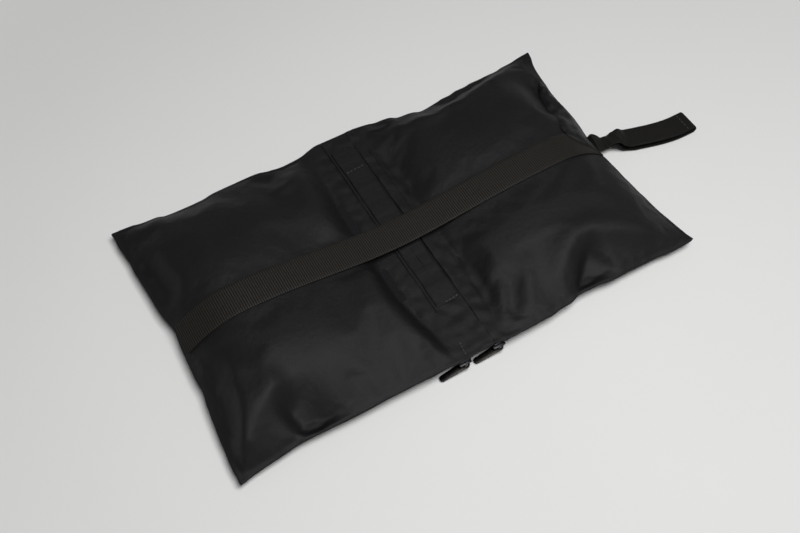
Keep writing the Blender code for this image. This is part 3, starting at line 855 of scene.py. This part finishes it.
def add_ribbon(name, frame_at, length, start, end, thick, material, ribs=RIB_HEIGHT):
    """Webbing that follows frame_at(share): its upper face's middle, its width and its normal."""
    rows = max(4, round((end - start) * length / RIB) * RIB_ROWS)
    bm = bmesh.new()
    points = grid_points(bm, (rows, SECTION_POINTS))
    weave = bm.loops.layers.uv.new("weave")
    for face in bm.faces:
        for loop in face.loops:
            across = section((1 + loop.vert.co.y) / 2)[0]
            share = mix(start, end, (1 + loop.vert.co.x) / 2)
            loop[weave].uv = (share * length, across * frame_at(share)[1].length)
    for vertex in points:
        share = mix(start, end, (1 + vertex.co.x) / 2)
        across, up = section((1 + vertex.co.y) / 2)
        middle, width, normal = frame_at(share)
        rib = (math.cos(2 * math.pi * share * length / RIB) - 1) / 2 * ribs
        rib *= smooth((RIB_END - abs(across)) / RIB_END_FADE)
        rib *= 1 if up > -0.5 else -1
        vertex.co = middle + width * across + normal * (up * thick + rib)
    merge(bm)
    rim = [e for e in bm.edges if e.is_boundary]
    bmesh.ops.holes_fill(bm, edges=rim, sides=0)
    for edge in rim:
        edge.smooth = False
    return add_piece(name, bm, material)


CROWN_STEPS = 240
CROWN_SPAN = 2


def trace_crown(side):
    """Distances and heights along the cloth under the strap's middle."""
    places = [cover_top(side, step / CROWN_STEPS, 0, ()) for step in range(CROWN_STEPS + 1)]
    return [abs(place.x) for place in places], [place.z for place in places]


crowns = {side: trace_crown(side) for side in (-1, 1)}


def crown_line(side, x):
    """The cloth under the strap's middle: its place and outward normal in the X-Z plane."""
    xs, heights = crowns[side]
    step = min(CROWN_STEPS - 1, max(1, bisect_left(xs, x)))
    height = mix(heights[step - 1], heights[step], (x - xs[step - 1]) / (xs[step] - xs[step - 1]))
    low = max(0, step - CROWN_SPAN)
    high = min(CROWN_STEPS, step + CROWN_SPAN)
    slope = (heights[high] - heights[low]) / (xs[high] - xs[low])
    return Vector((x, height)), Vector((-slope, 1)).normalized()


def strap_line(x):
    """The strap's upper face at a distance x from the band: its place and normal in the X-Z plane."""
    side = -1 if x < 0 else 1
    x = abs(x)
    rise = STRAP_LIFT + STRAP_THICK
    if x > STRAP_LEAVES_X:
        point, normal = crown_line(side, x)
        point = point + normal * rise
    else:
        start, normal = crown_line(side, STRAP_LEAVES_X)
        start = start + normal * rise
        slope = -normal.x / normal.y
        climb = start.y - STRAP_MID_TOP
        a = 3 * climb - slope * start.x
        b = slope * start.x - 2 * climb
        share = x / STRAP_LEAVES_X
        point = Vector((start.x * share, STRAP_MID_TOP + a * share**2 + b * share**3))
        normal = Vector((-(2 * a * share + 3 * b * share**2) / start.x, 1)).normalized()
    return Vector((side * point.x, point.y)), Vector((side * normal.x, normal.y))


STRAP_REACH = 0.2198
STRAP_STEPS = 400
STRAP_SWAY = 0.0006
STRAP_SWAY_TURN = 30
STRAP_OFFSET = 0.0008  # towards the back
STRAP_SPLIT_X = -0.120
STRAP_SPAN_END_X = 0.2085
STRAP_HIDDEN_END_X = 0.2168


def measure_strap():
    """Distances along the strap's upper face for evenly spaced x, so that its ribs are even too."""
    shares = [step / STRAP_STEPS for step in range(STRAP_STEPS + 1)]
    places = [strap_line(mix(-STRAP_REACH, STRAP_REACH, share))[0] for share in shares]
    lengths = [0]
    for a, b in zip(places, places[1:]):
        lengths.append(lengths[-1] + (b - a).length)
    return lengths


strap_lengths = measure_strap()
strap_total = strap_lengths[-1]


def strap_x(share):
    """The x at a share of the strap's length."""
    target = share * strap_total
    step = next(n for n, length in enumerate(strap_lengths) if length >= target or n == STRAP_STEPS)
    if step == 0:
        return -STRAP_REACH
    before = strap_lengths[step - 1]
    part = (target - before) / (strap_lengths[step] - before)
    return mix(-STRAP_REACH, STRAP_REACH, (step - 1 + part) / STRAP_STEPS)


def strap_share(x):
    step = (x + STRAP_REACH) / (2 * STRAP_REACH) * STRAP_STEPS
    low = min(STRAP_STEPS - 1, int(step))
    return mix(strap_lengths[low], strap_lengths[low + 1], step - low) / strap_total


@lru_cache(None)
def strap_frame(share):
    x = strap_x(share)
    point, normal = strap_line(x)
    drift = STRAP_SWAY * math.sin(x * STRAP_SWAY_TURN) + STRAP_OFFSET
    return (
        Vector((point.x, drift, point.y)),
        Vector((0, STRAP_WIDTH, 0)),
        Vector((normal.x, 0, normal.y)),
    )


def rib_share(share):
    """The nearest share of the strap that falls in a groove between two ribs."""
    ribs = strap_total / RIB
    return (math.floor(share * ribs) + 0.5) / ribs


def loop_middle(share):
    """Centre, width and eye of the hang loop at a share of its length."""
    y = mix(LOOP_ROOT_Y, LOOP_END_Y, smooth(share / LOOP_DRIFT_SHARE))
    z = mix(LOOP_ROOT_Z, LOOP_END_Z, smooth(share / LOOP_FLAT_SHARE))
    if share < LOOP_PINCH_SHARE:
        width = mix(LOOP_ROOT_WIDTH, LOOP_PINCH_WIDTH, smooth(share / LOOP_PINCH_SHARE))
    else:
        out = (share - LOOP_PINCH_SHARE) / (LOOP_FLAT_SHARE - LOOP_PINCH_SHARE)
        width = mix(LOOP_PINCH_WIDTH, LOOP_WIDTH, smooth(out))
    eye = mix(LOOP_PRESSED, LOOP_EYE, smooth((share - LOOP_PINCH_SHARE) / LOOP_PINCH_SHARE))
    return y, z, width, eye


# Cloth of the end seam that is folded over the strap's right end: place across the bag, and its inner edge
FLAP_INNER = (
    (0.098, 0.2220), (0.088, 0.2130), (0.077, 0.2070), (0.062, 0.2030), (0.048, 0.1995),
    (0.036, 0.1960), (0.024, 0.1915), (0.012, 0.1905), (0.003, 0.1965), (-0.004, 0.2050),
    (-0.009, 0.2130), (-0.014, 0.2200),
)
FLAP_CELLS = (22, 90)
FLAP_THICK = 0.0022
FLAP_LUMP = 0.0024
FLAP_LUMP_SIZE = 0.010
FLAP_SUNK = 0.0010
FLAP_OVER_STRAP = 0.0022
FLAP_SEED = 44.2
FLAP_CLEAR = 0.003  # beside the strap's edge, where the flap starts to rise over it
FLAP_RISE = 0.004
FLAP_INNER_ROUND = 0.30  # shares of the flap that its edges and ends take to grow thick
FLAP_SEAM_ROUND = 0.35
FLAP_END_ROUND = 0.12


def flap_start(y):
    """The u of the flap's inner edge at a place across the bag."""
    last = len(FLAP_INNER) - 1
    step = next(n for n in range(1, last + 1) if y >= FLAP_INNER[n][0] or n == last)
    a, b = FLAP_INNER[step - 1 : step + 1]
    inner = mix(a[1], b[1], (a[0] - y) / (a[0] - b[0]))
    u = 1
    for trial in range(3):
        u -= (cover_plan(1, u, y / half_width(u)).x - inner) / (end_x(0) - PANEL_START_X)
    return u


def add_flap(material):
    """A lumpy fold of cover cloth that lies on the strap's end and runs out to the seam."""

    def place(s, t, upper):
        s = (1 + s) / 2
        t = (1 + t) / 2
        y = mix(FLAP_INNER[0][0], FLAP_INNER[-1][0], t)
        u = mix(flap_start(y), 1, s)
        point = cover_top(1, u, y / half_width(u), RIGHT_FOLDS)
        over_strap = smooth((STRAP_WIDTH / 2 + FLAP_CLEAR - y) / FLAP_RISE)
        ends = smooth(t / FLAP_END_ROUND) * smooth((1 - t) / FLAP_END_ROUND)
        rounded = math.sqrt(smooth(s / FLAP_INNER_ROUND) * smooth((1 - s) / FLAP_SEAM_ROUND) * ends)
        if upper:
            lump = 0.5 + waver(point.x / FLAP_LUMP_SIZE, y / FLAP_LUMP_SIZE, FLAP_SEED)
            point.z += (FLAP_THICK + FLAP_LUMP * lump) * rounded + FLAP_OVER_STRAP * over_strap * (1 - s)
        else:
            point.z -= FLAP_SUNK * rounded - FLAP_OVER_STRAP * over_strap * (1 - s) * (1 - rounded)
        return point

    bm = bmesh.new()
    add_halves(bm, FLAP_CELLS, place, False)
    return add_piece("right_end_flap", bm, material)


LOOP_ROOT_X = end_x(0) + 0.0002
LOOP_TURN_SHARE = 0.02
LOOP_SLACK_SHARE = 0.42  # the part by the root, where the loop is crumpled
LOOP_SLACK_START = 0.04
LOOP_SLACK_FADE = 0.15
LOOP_TILT = 0.30
LOOP_TWISTS = 1.5
LOOP_BUMP = 0.0022
LOOP_BUMP_SIZE = 0.06
LOOP_LAYER_SEED = 0.4
LOOP_SEAM = 0.0060  # from the loop's end to the stitches across it
LOOP_HEAD = 0.0045  # the sewn root
LOOP_PRESSED = 0.0003  # between the two layers at the root


@lru_cache(None)
def loop_frame(share):
    """Runs out along the upper layer, round the far end and back along the lower one."""
    radius = LOOP_EYE / 2
    far = LOOP_ROOT_X + LOOP_HEAD + LOOP_LENGTH - radius - LOOP_THICK
    if abs(share - 0.5) < LOOP_TURN_SHARE:
        angle = math.pi / 2 * (0.5 - share) / LOOP_TURN_SHARE
        normal = Vector((math.cos(angle), 0, math.sin(angle)))
        middle = Vector((far, LOOP_END_Y, LOOP_END_Z)) + normal * (radius + LOOP_THICK)
        return middle, Vector((0, LOOP_WIDTH, 0)), normal
    part = min(share, 1 - share) / (0.5 - LOOP_TURN_SHARE)
    y, z, width, eye = loop_middle(part)
    up = 1 if share < 0.5 else -1
    x = mix(LOOP_ROOT_X, far, part)
    slack = smooth(part / LOOP_SLACK_START) * smooth((LOOP_SLACK_SHARE - part) / LOOP_SLACK_FADE)
    tilt = LOOP_TILT * slack * math.sin(part / LOOP_SLACK_SHARE * math.tau * LOOP_TWISTS)
    z += LOOP_BUMP * slack * (0.5 + waver(part / LOOP_BUMP_SIZE, up * LOOP_LAYER_SEED, FLAP_SEED))
    z += abs(math.sin(tilt)) * width / 2
    across = Vector((0, math.cos(tilt), math.sin(tilt)))
    normal = Vector((0, -math.sin(tilt), math.cos(tilt)))
    return Vector((x, y, z)) + normal * up * (eye / 2 + LOOP_THICK), across * width, normal * up


# Centre band

UP = Vector((0, 0, 1))
STRIP_FRONT = -0.0815
STRIP_REAR = 0.1185
STRIP_LEFT = -0.0132
STRIP_RIGHT = 0.0116
STRIP_THICK = 0.0012
STRIP_TOP = 0.0191
STITCH = 0.0027
STITCH_PITCH = 0.0036
THREAD = 0.00075
STRIP_SEED = 21.5
STRIP_CORNERS = (0.0085, 0.0045)  # right-hand corners, at the back and at the front
STRIP_SMALL_CORNER = 0.0028
WELT_X = -0.0149
WELT_WIDTH = 0.0019
WELT_THICK = 0.0014
WELT_TOP = 0.0189
WELT_FRONT = -0.086
WELT_REAR = 0.1338
# How uneven the band's cloth lies: how much, and over what length
STRIP_WANDER = (0.0006, 0.022)
STRIP_SWELL = (0.0004, 0.016)
STRIP_FINE_SWELL = (0.00012, 0.006)
WELT_WANDER = (0.0005, 0.03)
WELT_SWELL = (0.0002, 0.008)


def rounded_corner(from_end, radius):
    """How much a corner of a radius cuts off one edge, at a distance from the end."""
    away = clamp(1 - from_end / radius)
    return radius * (1 - math.sqrt(1 - away * away))


def uneven(y, amount, row):
    return amount[0] * waver(y / amount[1], row, STRIP_SEED)


@lru_cache(None)
def strip_frame(share):
    """The strip's upper face, from its front end to its back end, lying a little uneven on the cloth."""
    y = mix(STRIP_FRONT, STRIP_REAR, share)
    wander = uneven(y, STRIP_WANDER, 0)
    swell = uneven(y, STRIP_SWELL, 1) + uneven(y, STRIP_FINE_SWELL, 2)
    from_end = min(y - STRIP_FRONT, STRIP_REAR - y)
    corner = STRIP_CORNERS[0] if share > 0.5 else STRIP_CORNERS[1]
    left = STRIP_LEFT + rounded_corner(from_end, STRIP_SMALL_CORNER) + wander
    right = STRIP_RIGHT - rounded_corner(from_end, corner) + wander
    return Vector(((left + right) / 2, y, STRIP_TOP + swell)), Vector((left - right, 0, 0)), UP


@lru_cache(None)
def welt_frame(share):
    """The left cover's turned edge, a narrow raised welt beside the strip."""
    y = mix(WELT_REAR, WELT_FRONT, share)
    x = WELT_X + uneven(y, WELT_WANDER, 3)
    z = WELT_TOP + uneven(y, WELT_SWELL, 4)
    return Vector((x, y, z)), Vector((WELT_WIDTH, 0, 0)), UP


def add_stitches(bm, start, end, height):
    """A line of lockstitch thread between two points, lying at a height."""
    a = Vector(start)
    run = Vector(end) - a
    count = int(run.length / STITCH_PITCH)
    shape = Matrix.Diagonal((STITCH, THREAD, THREAD, 1))
    tilt = Matrix.Rotation(math.atan2(run.y, run.x), 4, "Z")
    turn = Matrix.Rotation(math.pi / 2, 4, "Y")
    for number in range(count):
        flat = a + run * ((number + 0.5) / count)
        made = bmesh.ops.create_uvsphere(bm, u_segments=6, v_segments=5, radius=0.5)["verts"]
        place = Matrix.Translation((flat.x, flat.y, height))
        bmesh.ops.transform(bm, matrix=place @ tilt @ shape @ turn, verts=made)


ON_STRIP = STRIP_TOP + THREAD * 0.1
ON_BAND = BAND_TOP + THREAD * 0.2
ON_LOOP = LOOP_END_Z + LOOP_EYE / 2 + LOOP_THICK + THREAD * 0.1
ROW_LEFT = STRIP_LEFT + 0.0014
ROW_RIGHT = STRIP_RIGHT - 0.0014
ROW_FRONT = STRIP_FRONT + 0.0018
ROW_REAR = STRIP_REAR - 0.0022
WELT_ROW = WELT_X - WELT_WIDTH / 2 - 0.0006
LOOP_ROW = LOOP_ROOT_X + LOOP_LENGTH - LOOP_SEAM

# Lockstitch rows: start, end and height
BAND_ROWS = (
    ((ROW_LEFT, ROW_FRONT + 0.002), (ROW_LEFT, ROW_REAR - 0.006), ON_STRIP),
    ((ROW_RIGHT, ROW_FRONT + 0.002), (ROW_RIGHT, ROW_REAR - 0.006), ON_STRIP),
    ((-0.001, -0.048), (-0.0015, -0.014), ON_STRIP),
    ((ROW_LEFT + 0.001, ROW_REAR), (ROW_RIGHT - 0.006, ROW_REAR), ON_STRIP),
    ((WELT_ROW, WELT_FRONT), (WELT_ROW, WELT_REAR), ON_BAND),
    ((0.0227, 0.0215), (0.0232, 0.1300), ON_BAND),
    ((0.0172, -0.1300), (0.0168, -0.1020), ON_BAND),
)
# Paler bar rows across the strip and the hang loop's end
BAR_ROWS = (
    ((ROW_LEFT, 0.0885), (ROW_RIGHT - 0.0015, 0.0900), ON_STRIP),
    ((-0.0045, ROW_FRONT - 0.0005), (ROW_RIGHT, ROW_FRONT + 0.0008), ON_STRIP),
    ((-0.0160, -0.1335), (-0.0140, -0.1190), ON_BAND),
)
LOOP_ROWS = (
    ((LOOP_ROW, LOOP_END_Y - LOOP_WIDTH * 0.44), (LOOP_ROW, LOOP_END_Y + LOOP_WIDTH * 0.44), ON_LOOP),
)


def add_stitch_rows(name, rows, thread, body):
    bm = bmesh.new()
    for start, end, height in rows:
        add_stitches(bm, start, end, height)
    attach(add_piece(name, bm, thread), body)


# Liners and sand

FILLING_CELLS = (40, 48)
LINER_DROP = 0.0034
LINER_RAISE = 0.0019
SAND_INSET = 0.0008
FILLING_NEAR = 0.10
FILLING_FAR = 0.955
FILLING_WIDE = 0.93
FILLING_ROUND = 0.25
FILLING_SHRINK = 8  # how much narrower a filling is for each unit that it lies deeper
FILLING_EDGE_POWER = 6


def build_filling(name, side, folds, inset, material):
    """A filled bag under the cover, which follows the cover's folds."""

    def place(a, b, upper):
        a = math.sin(math.pi / 2 * a)
        b = math.sin(math.pi / 2 * b)
        edge = max(abs(a), abs(b))
        along = a * math.sqrt(1 - FILLING_ROUND * b * b) * (1 - inset * FILLING_SHRINK)
        across = b * math.sqrt(1 - FILLING_ROUND * a * a) * (1 - inset * FILLING_SHRINK)
        u = mix(FILLING_NEAR, FILLING_FAR, (1 + along) / 2)
        v = across * FILLING_WIDE
        top = cover_top(side, u, v, folds)
        low = cover_under(side, u, v).z + LINER_RAISE + inset
        high = max(low, top.z - LINER_DROP - inset)
        middle = (low + high) / 2
        half = (high - low) / 2 * math.sqrt(max(0, 1 - edge**FILLING_EDGE_POWER))
        return Vector((top.x, top.y, middle + (half if upper else -half)))

    bm = bmesh.new()
    add_halves(bm, FILLING_CELLS, place, side < 0)
    return add_piece(name, bm, material)


# Zips

ZIP_X = 0.0175
COIL_PITCH = 0.0021
COIL_WIRE = 0.00075
COIL_TOP = 0.0117
COIL_DEEP = 0.0010
COIL_REACH = 0.0034
COIL_GAP = 0.00045
COIL_PHASE = {-1: 0.25, 1: 0.75}  # of the pitch
# Out along the tape, round the end and back below
COIL_PATH = (
    (COIL_REACH - COIL_WIRE, 0),
    (COIL_WIRE / 2, -COIL_DEEP / 2),
    (-COIL_WIRE / 2, -COIL_DEEP / 2),
    (COIL_WIRE - COIL_REACH, 0),
)
COIL_START = -0.1348
COIL_END = 0.1216
PLATE_TOP = 0.0094
PLATE_LOW = 0.0082
SLIDER_NOSE = -0.1375
SLIDER_LENGTH = 0.017
SLIDER_WIDTH = 0.012
WING_LOW = 0.0131
WING_TOP = 0.0141
POST = 0.0003
BRIDGE_LOW = 0.0036
BRIDGE_BAR = 0.0013
BRIDGE_LENGTH = 0.0106
BRIDGE_WIDTH = 0.0018
PULL_PIVOT_Y = -0.1360
PULL_PIVOT_Z = 0.0065
PULL_TILT = math.radians(10)
PULL_LENGTH = 0.026
PULL_THICK = 0.0013
PULL_HEAD = 0.0040
PULL_HOLE = 0.0020
PULL_TIP = 0.0030
PULL_LAP = 0.0005
PULL_TONGUE = 0.9  # of the ring's thickness
PULL_TIP_ROUND = 0.9  # of the tip's half width
PULL_SHARP = math.radians(60)  # edges that turn by more are rounded
PULL_ROUND = 0.00025


def add_block(bm, low, high, round_by):
    """A block between two corners, with every edge rounded."""
    low = Vector(low)
    high = Vector(high)
    made = bmesh.ops.create_cube(bm, size=1)["verts"]
    bmesh.ops.scale(bm, vec=high - low, verts=made)
    bmesh.ops.translate(bm, vec=(low + high) / 2, verts=made)
    round_edges(bm, list({e for v in made for e in v.link_edges}), round_by)


def add_coil(word, middle, nylon):
    """Two rows of moulded coil, seen from below as a line of little wire loops."""
    bm = bmesh.new()
    for side in (-1, 1):
        y = COIL_START + COIL_PITCH * COIL_PHASE[side]
        made = bmesh.ops.create_circle(bm, segments=6, radius=COIL_WIRE / 2)["verts"]
        head = Matrix.Translation((middle + side * COIL_GAP, y, COIL_TOP - COIL_WIRE))
        bmesh.ops.transform(bm, matrix=head @ Matrix.Rotation(math.pi / 2, 4, "Y"), verts=made)
        grown = bmesh.ops.contextual_create(bm, geom=made)["faces"]
        for across, up in COIL_PATH:
            faces = [g for g in grown if isinstance(g, bmesh.types.BMFace)]
            grown = bmesh.ops.extrude_face_region(bm, geom=faces)["geom"]
            corners = [g for g in grown if isinstance(g, bmesh.types.BMVert)]
            bmesh.ops.translate(bm, vec=(side * across, 0, up), verts=corners)
    piece = add_piece(f"zip_{word}_coil", bm, nylon)
    row = piece.modifiers.new("row", "ARRAY")
    row.count = int((COIL_END - COIL_START) / COIL_PITCH)
    row.use_relative_offset = False
    row.use_constant_offset = True
    row.constant_offset_displace = (0, COIL_PITCH, 0)
    apply_modifiers(piece)
    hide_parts(f"zip_{word}_inner_teeth", f"zip_{word}_outer_teeth")
    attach(piece, "saddle")


def add_slider(word, middle, metal):
    """Die-cast slider: two flanged plates on a post, with a bridge below that holds the pull."""
    rear = SLIDER_NOSE + SLIDER_LENGTH
    half = SLIDER_WIDTH / 2
    leg = BRIDGE_WIDTH / 2
    front = SLIDER_NOSE + 0.0007
    back = front + BRIDGE_LENGTH
    leg_low = BRIDGE_LOW + 0.0002
    leg_top = PLATE_LOW + 0.0005
    # half width, front and rear, bottom and top, rounding
    blocks = (
        (half, SLIDER_NOSE, rear, PLATE_LOW, PLATE_TOP, 0.0004),
        (half - 0.0005, SLIDER_NOSE + 0.0012, rear - 0.0008, WING_LOW, WING_TOP, 0.0004),
        (POST, SLIDER_NOSE + 0.0012, SLIDER_NOSE + 0.008, PLATE_TOP - 0.0006, WING_LOW + 0.0004, 0.0001),
        (leg, front, front + BRIDGE_WIDTH, leg_low, leg_top, 0.0004),
        (leg, back - BRIDGE_WIDTH, back, leg_low, leg_top, 0.0004),
        (leg + 0.0004, front, back, BRIDGE_LOW, BRIDGE_LOW + BRIDGE_BAR, 0.0005),
    )
    bm = bmesh.new()
    for reach, near, far, low, high, round_by in blocks:
        add_block(bm, (middle - reach, near, low), (middle + reach, far, high), round_by)
    piece = add_piece(f"zip_{word}_slider_body", bm, metal)
    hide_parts(f"zip_{word}_slider")
    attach(piece, f"zip_{word}_slider")


def add_pull(word, middle, metal):
    """A stamped pull: a ring round the bridge's front leg and a tongue that narrows to a round tip."""
    bm = bmesh.new()
    rings = []
    for radius in (PULL_HEAD, PULL_HOLE):
        made = bmesh.ops.create_circle(bm, segments=28, radius=radius)["verts"]
        rings += {e for v in made for e in v.link_edges}
    ring = bmesh.ops.bridge_loops(bm, edges=rings)["faces"]
    grown = bmesh.ops.extrude_face_region(bm, geom=ring)["geom"]
    raised = [g for g in grown if isinstance(g, bmesh.types.BMVert)]
    bmesh.ops.translate(bm, vec=(0, 0, PULL_THICK), verts=raised)
    bmesh.ops.translate(bm, vec=(0, 0, -PULL_THICK / 2), verts=bm.verts)
    tongue = bmesh.ops.create_cube(bm, size=1)["verts"]
    length = PULL_LENGTH - PULL_HOLE - PULL_LAP
    bmesh.ops.scale(bm, vec=(length, 2 * PULL_TIP, PULL_THICK * PULL_TONGUE), verts=tongue)
    bmesh.ops.translate(bm, vec=(-PULL_HOLE - PULL_LAP - length / 2, 0, 0), verts=tongue)
    head = [v for v in tongue if v.co.x > -PULL_HEAD]
    bmesh.ops.scale(bm, vec=(1, (PULL_HEAD - PULL_LAP) / PULL_TIP, 1), verts=head)
    edges = {e for v in tongue for e in v.link_edges}
    upright = [e for e in edges if abs(e.verts[0].co.z - e.verts[1].co.z) > PULL_THICK / 2]
    tip = [e for e in upright if e.verts[0].co.x < -PULL_HEAD]
    round_edges(bm, tip, PULL_TIP * PULL_TIP_ROUND, 6)
    bmesh.ops.recalc_face_normals(bm, faces=bm.faces)
    sharp = [e for e in bm.edges if e.is_manifold and e.calc_face_angle() > PULL_SHARP]
    round_edges(bm, sharp, PULL_ROUND)
    place = Matrix.Translation((middle, PULL_PIVOT_Y, PULL_PIVOT_Z)) @ Matrix.Rotation(-PULL_TILT, 4, "Y")
    bmesh.ops.transform(bm, matrix=place, verts=bm.verts)
    piece = add_piece(f"zip_{word}_pull_plate", bm, metal)
    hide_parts(f"zip_{word}_pull_tab")
    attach(piece, f"zip_{word}_pull")


# Stage


def add_camera():
    flat = math.cos(CAMERA_PITCH)
    forward = Vector((
        math.sin(CAMERA_YAW) * flat,
        math.cos(CAMERA_YAW) * flat,
        -math.sin(CAMERA_PITCH),
    ))
    level = Vector((math.cos(CAMERA_YAW), -math.sin(CAMERA_YAW), 0))
    rise = level.cross(forward)
    right = math.cos(CAMERA_ROLL) * level + math.sin(CAMERA_ROLL) * rise
    up = math.cos(CAMERA_ROLL) * rise - math.sin(CAMERA_ROLL) * level
    lens = bpy.data.cameras.new("camera")
    lens.lens = CAMERA_LENS
    lens.sensor_width = CAMERA_SENSOR
    camera = add_object("camera", lens)
    turn = Matrix((right, up, -forward)).transposed().to_4x4()
    camera.matrix_world = Matrix.Translation(BAND_MIDDLE + CAMERA_PLACE) @ turn
    bpy.context.scene.camera = camera


def add_floor():
    """A pale painted floor, which passes into the plain backdrop away from the bag."""
    material, tree, place = new_material("pale_floor_paint")
    colour = blend_colours(tree, grain(tree, place, 0.3), "#dcdcdb", "#e1e1e0")
    shade(material, Roughness=0.8, Specular_IOR_Level=0.2, Base_Color=colour)
    paint = tree.nodes["Principled BSDF"].outputs[0]
    away = add_node(tree, "ShaderNodeVectorMath", {0: place}, operation="LENGTH").outputs["Value"]
    inputs = {"Value": away, "From Min": FLOOR_FADE[0], "From Max": FLOOR_FADE[1]}
    far = add_node(tree, "ShaderNodeMapRange", inputs, interpolation_type="SMOOTHSTEP").outputs["Result"]
    seen = add_node(tree, "ShaderNodeLightPath", {}).outputs["Is Camera Ray"]
    plain = add_node(tree, "ShaderNodeEmission", {"Color": srgb(BACKDROP)}).outputs[0]
    both = add_node(tree, "ShaderNodeMixShader", {0: multiply(tree, far, seen), 1: paint, 2: plain})
    tree.links.new(both.outputs[0], tree.nodes["Material Output"].inputs["Surface"])
    bm = bmesh.new()
    bmesh.ops.create_grid(bm, x_segments=1, y_segments=1, size=FLOOR_REACH)
    mesh = bpy.data.meshes.new("floor")
    bm.to_mesh(mesh)
    bm.free()
    mesh.materials.append(material)
    floor = add_object("floor", mesh)


def add_softbox(name, place, size, power):
    light = bpy.data.lights.new(name, "AREA")
    light.shape = "RECTANGLE"
    light.size, light.size_y = size
    light.energy = power
    lamp = add_object(name, light)
    lamp.location = BAND_MIDDLE + Vector(place)
    lamp.rotation_euler = Vector(place).to_track_quat("Z", "Y").to_euler()


def light_stage():
    """A pale backdrop round the bag, and a dark ceiling that shows in reflections only."""
    world = bpy.data.worlds.new("studio")
    bpy.context.scene.world = world
    world.use_nodes = True
    tree = world.node_tree
    tree.nodes.clear()
    rays = add_node(tree, "ShaderNodeLightPath", {}).outputs
    shown = maths(tree, "MAXIMUM", rays["Is Camera Ray"], rays["Is Glossy Ray"])
    shown = maths(tree, "MAXIMUM", shown, rays["Is Transmission Ray"])
    place = add_node(tree, "ShaderNodeTexCoord", {}).outputs["Generated"]
    height = add_node(tree, "ShaderNodeSeparateXYZ", {0: place}).outputs["Z"]
    inputs = {"Value": height, "From Min": BACKDROP_TOP, "From Max": CEILING_START}
    above = add_node(tree, "ShaderNodeMapRange", inputs).outputs["Result"]
    above = multiply(tree, above, maths(tree, "SUBTRACT", 1, rays["Is Camera Ray"]))
    colour = blend_colours(tree, above, BACKDROP, CEILING)
    dim = add_node(tree, "ShaderNodeBackground", {"Color": (1, 1, 1, 1), "Strength": FILL}).outputs[0]
    pale = add_node(tree, "ShaderNodeBackground", {"Color": colour}).outputs[0]
    both = add_node(tree, "ShaderNodeMixShader", {0: shown, 1: dim, 2: pale})
    add_node(tree, "ShaderNodeOutputWorld", {0: both.outputs[0]})
    add_softbox("overhead_softbox", KEY_PLACE, KEY_SIZE, KEY_POWER)
    bpy.context.scene.view_settings.view_transform = "Standard"


def build_bag():
    nylon = make_coated_nylon()
    strap_web = make_webbing("ribbed_polypropylene_webbing", "#090908", "#2e2b27", RIB)
    loop_web = make_webbing("twill_polypropylene_webbing", "#0e0d0c", "#1b1a18", LOOP_RIB)

    left = build_cover("left", -1, LEFT_FOLDS, nylon)
    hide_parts("left_top_panel", "left_bottom_panel", "band_top_web")
    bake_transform(left)
    right = build_cover("right", 1, RIGHT_FOLDS, nylon)
    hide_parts("right_top_panel", "right_bottom_panel")
    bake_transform(right)

    thread = make_thread("black_polyester_thread", "#09090a", "#101011")
    pale_thread = make_thread("grey_polyester_thread", "#3c3c3c", "#58585a")
    zip_tape = make_zip_tape()
    coil = make_moulded_nylon()
    black_zinc = make_zinc("black_plated_zinc", "#1c1c1e", "#3a3a3d", 0.25)
    gunmetal = make_zinc("gunmetal_plated_zinc", "#1c1b1a", "#302e2c", 0.24)
    film = make_polythene()
    sand = make_sand()
    hooks = make_hook_tape()
    for word, side, folds in (("left", -1, LEFT_FOLDS), ("right", 1, RIGHT_FOLDS)):
        piece = build_filling(word + "_liner_bag", side, folds, 0, film)
        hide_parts(word + "_liner")
        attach(piece, word + "_pouch")
        piece = build_filling(word + "_sand", side, folds, SAND_INSET, sand)
        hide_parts(word + "_sand_fill")
        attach(piece, word + "_pouch")
        add_coil(word, side * ZIP_X, coil)
        add_slider(word, side * ZIP_X, black_zinc)
        add_pull(word, side * ZIP_X, gunmetal)
        paint_node(word + "_liner_closure", hooks)
        paint_node(f"zip_{word}_rear_stop", black_zinc)
        paint_node(f"zip_{word}_inner_tape", zip_tape)
        paint_node(f"zip_{word}_outer_tape", zip_tape)
    paint_node("band_core", zip_tape)
    paint_node("band_lower_web", nylon)

    length = STRIP_REAR - STRIP_FRONT
    piece = add_ribbon(
        "band_strip_cloth", strip_frame, length, 0, 1, STRIP_THICK, nylon, ribs=0
    )
    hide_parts("band_strip")
    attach(piece, "saddle")
    length = WELT_REAR - WELT_FRONT
    piece = add_ribbon(
        "band_welt", welt_frame, length, 0, 1, WELT_THICK, nylon, ribs=0
    )
    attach(piece, "saddle")
    add_stitch_rows("band_stitches", BAND_ROWS, thread, "saddle")
    add_stitch_rows("band_bar_stitches", BAR_ROWS, pale_thread, "saddle")
    add_stitch_rows("hang_loop_stitches", LOOP_ROWS, pale_thread, "hang_loop")

    def add_strap(name, start, end):
        return add_ribbon(
            name, strap_frame, strap_total, start, end, STRAP_THICK, strap_web
        )

    split = rib_share(strap_share(STRAP_SPLIT_X))
    end = rib_share(strap_share(STRAP_SPAN_END_X))
    piece = add_strap("strap_left_end", 0, split)
    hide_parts("left_strap_root")
    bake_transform(piece)
    piece = add_strap("strap_span", split, end)
    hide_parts("strap_left_half", "strap_right_half")
    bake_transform(piece)
    piece = add_strap("strap_right_end", end, strap_share(STRAP_HIDDEN_END_X))
    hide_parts("right_strap_root")
    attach(piece, "right_pouch")
    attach(add_flap(nylon), "right_pouch")

    length = 2 * LOOP_LENGTH
    piece = add_ribbon(
        "hang_loop_webbing", loop_frame, length, 0, 1, LOOP_THICK, loop_web, ribs=0
    )
    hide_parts("hang_loop", "hang_loop_root")
    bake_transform(piece)


add_camera()
add_floor()
light_stage()
build_bag()
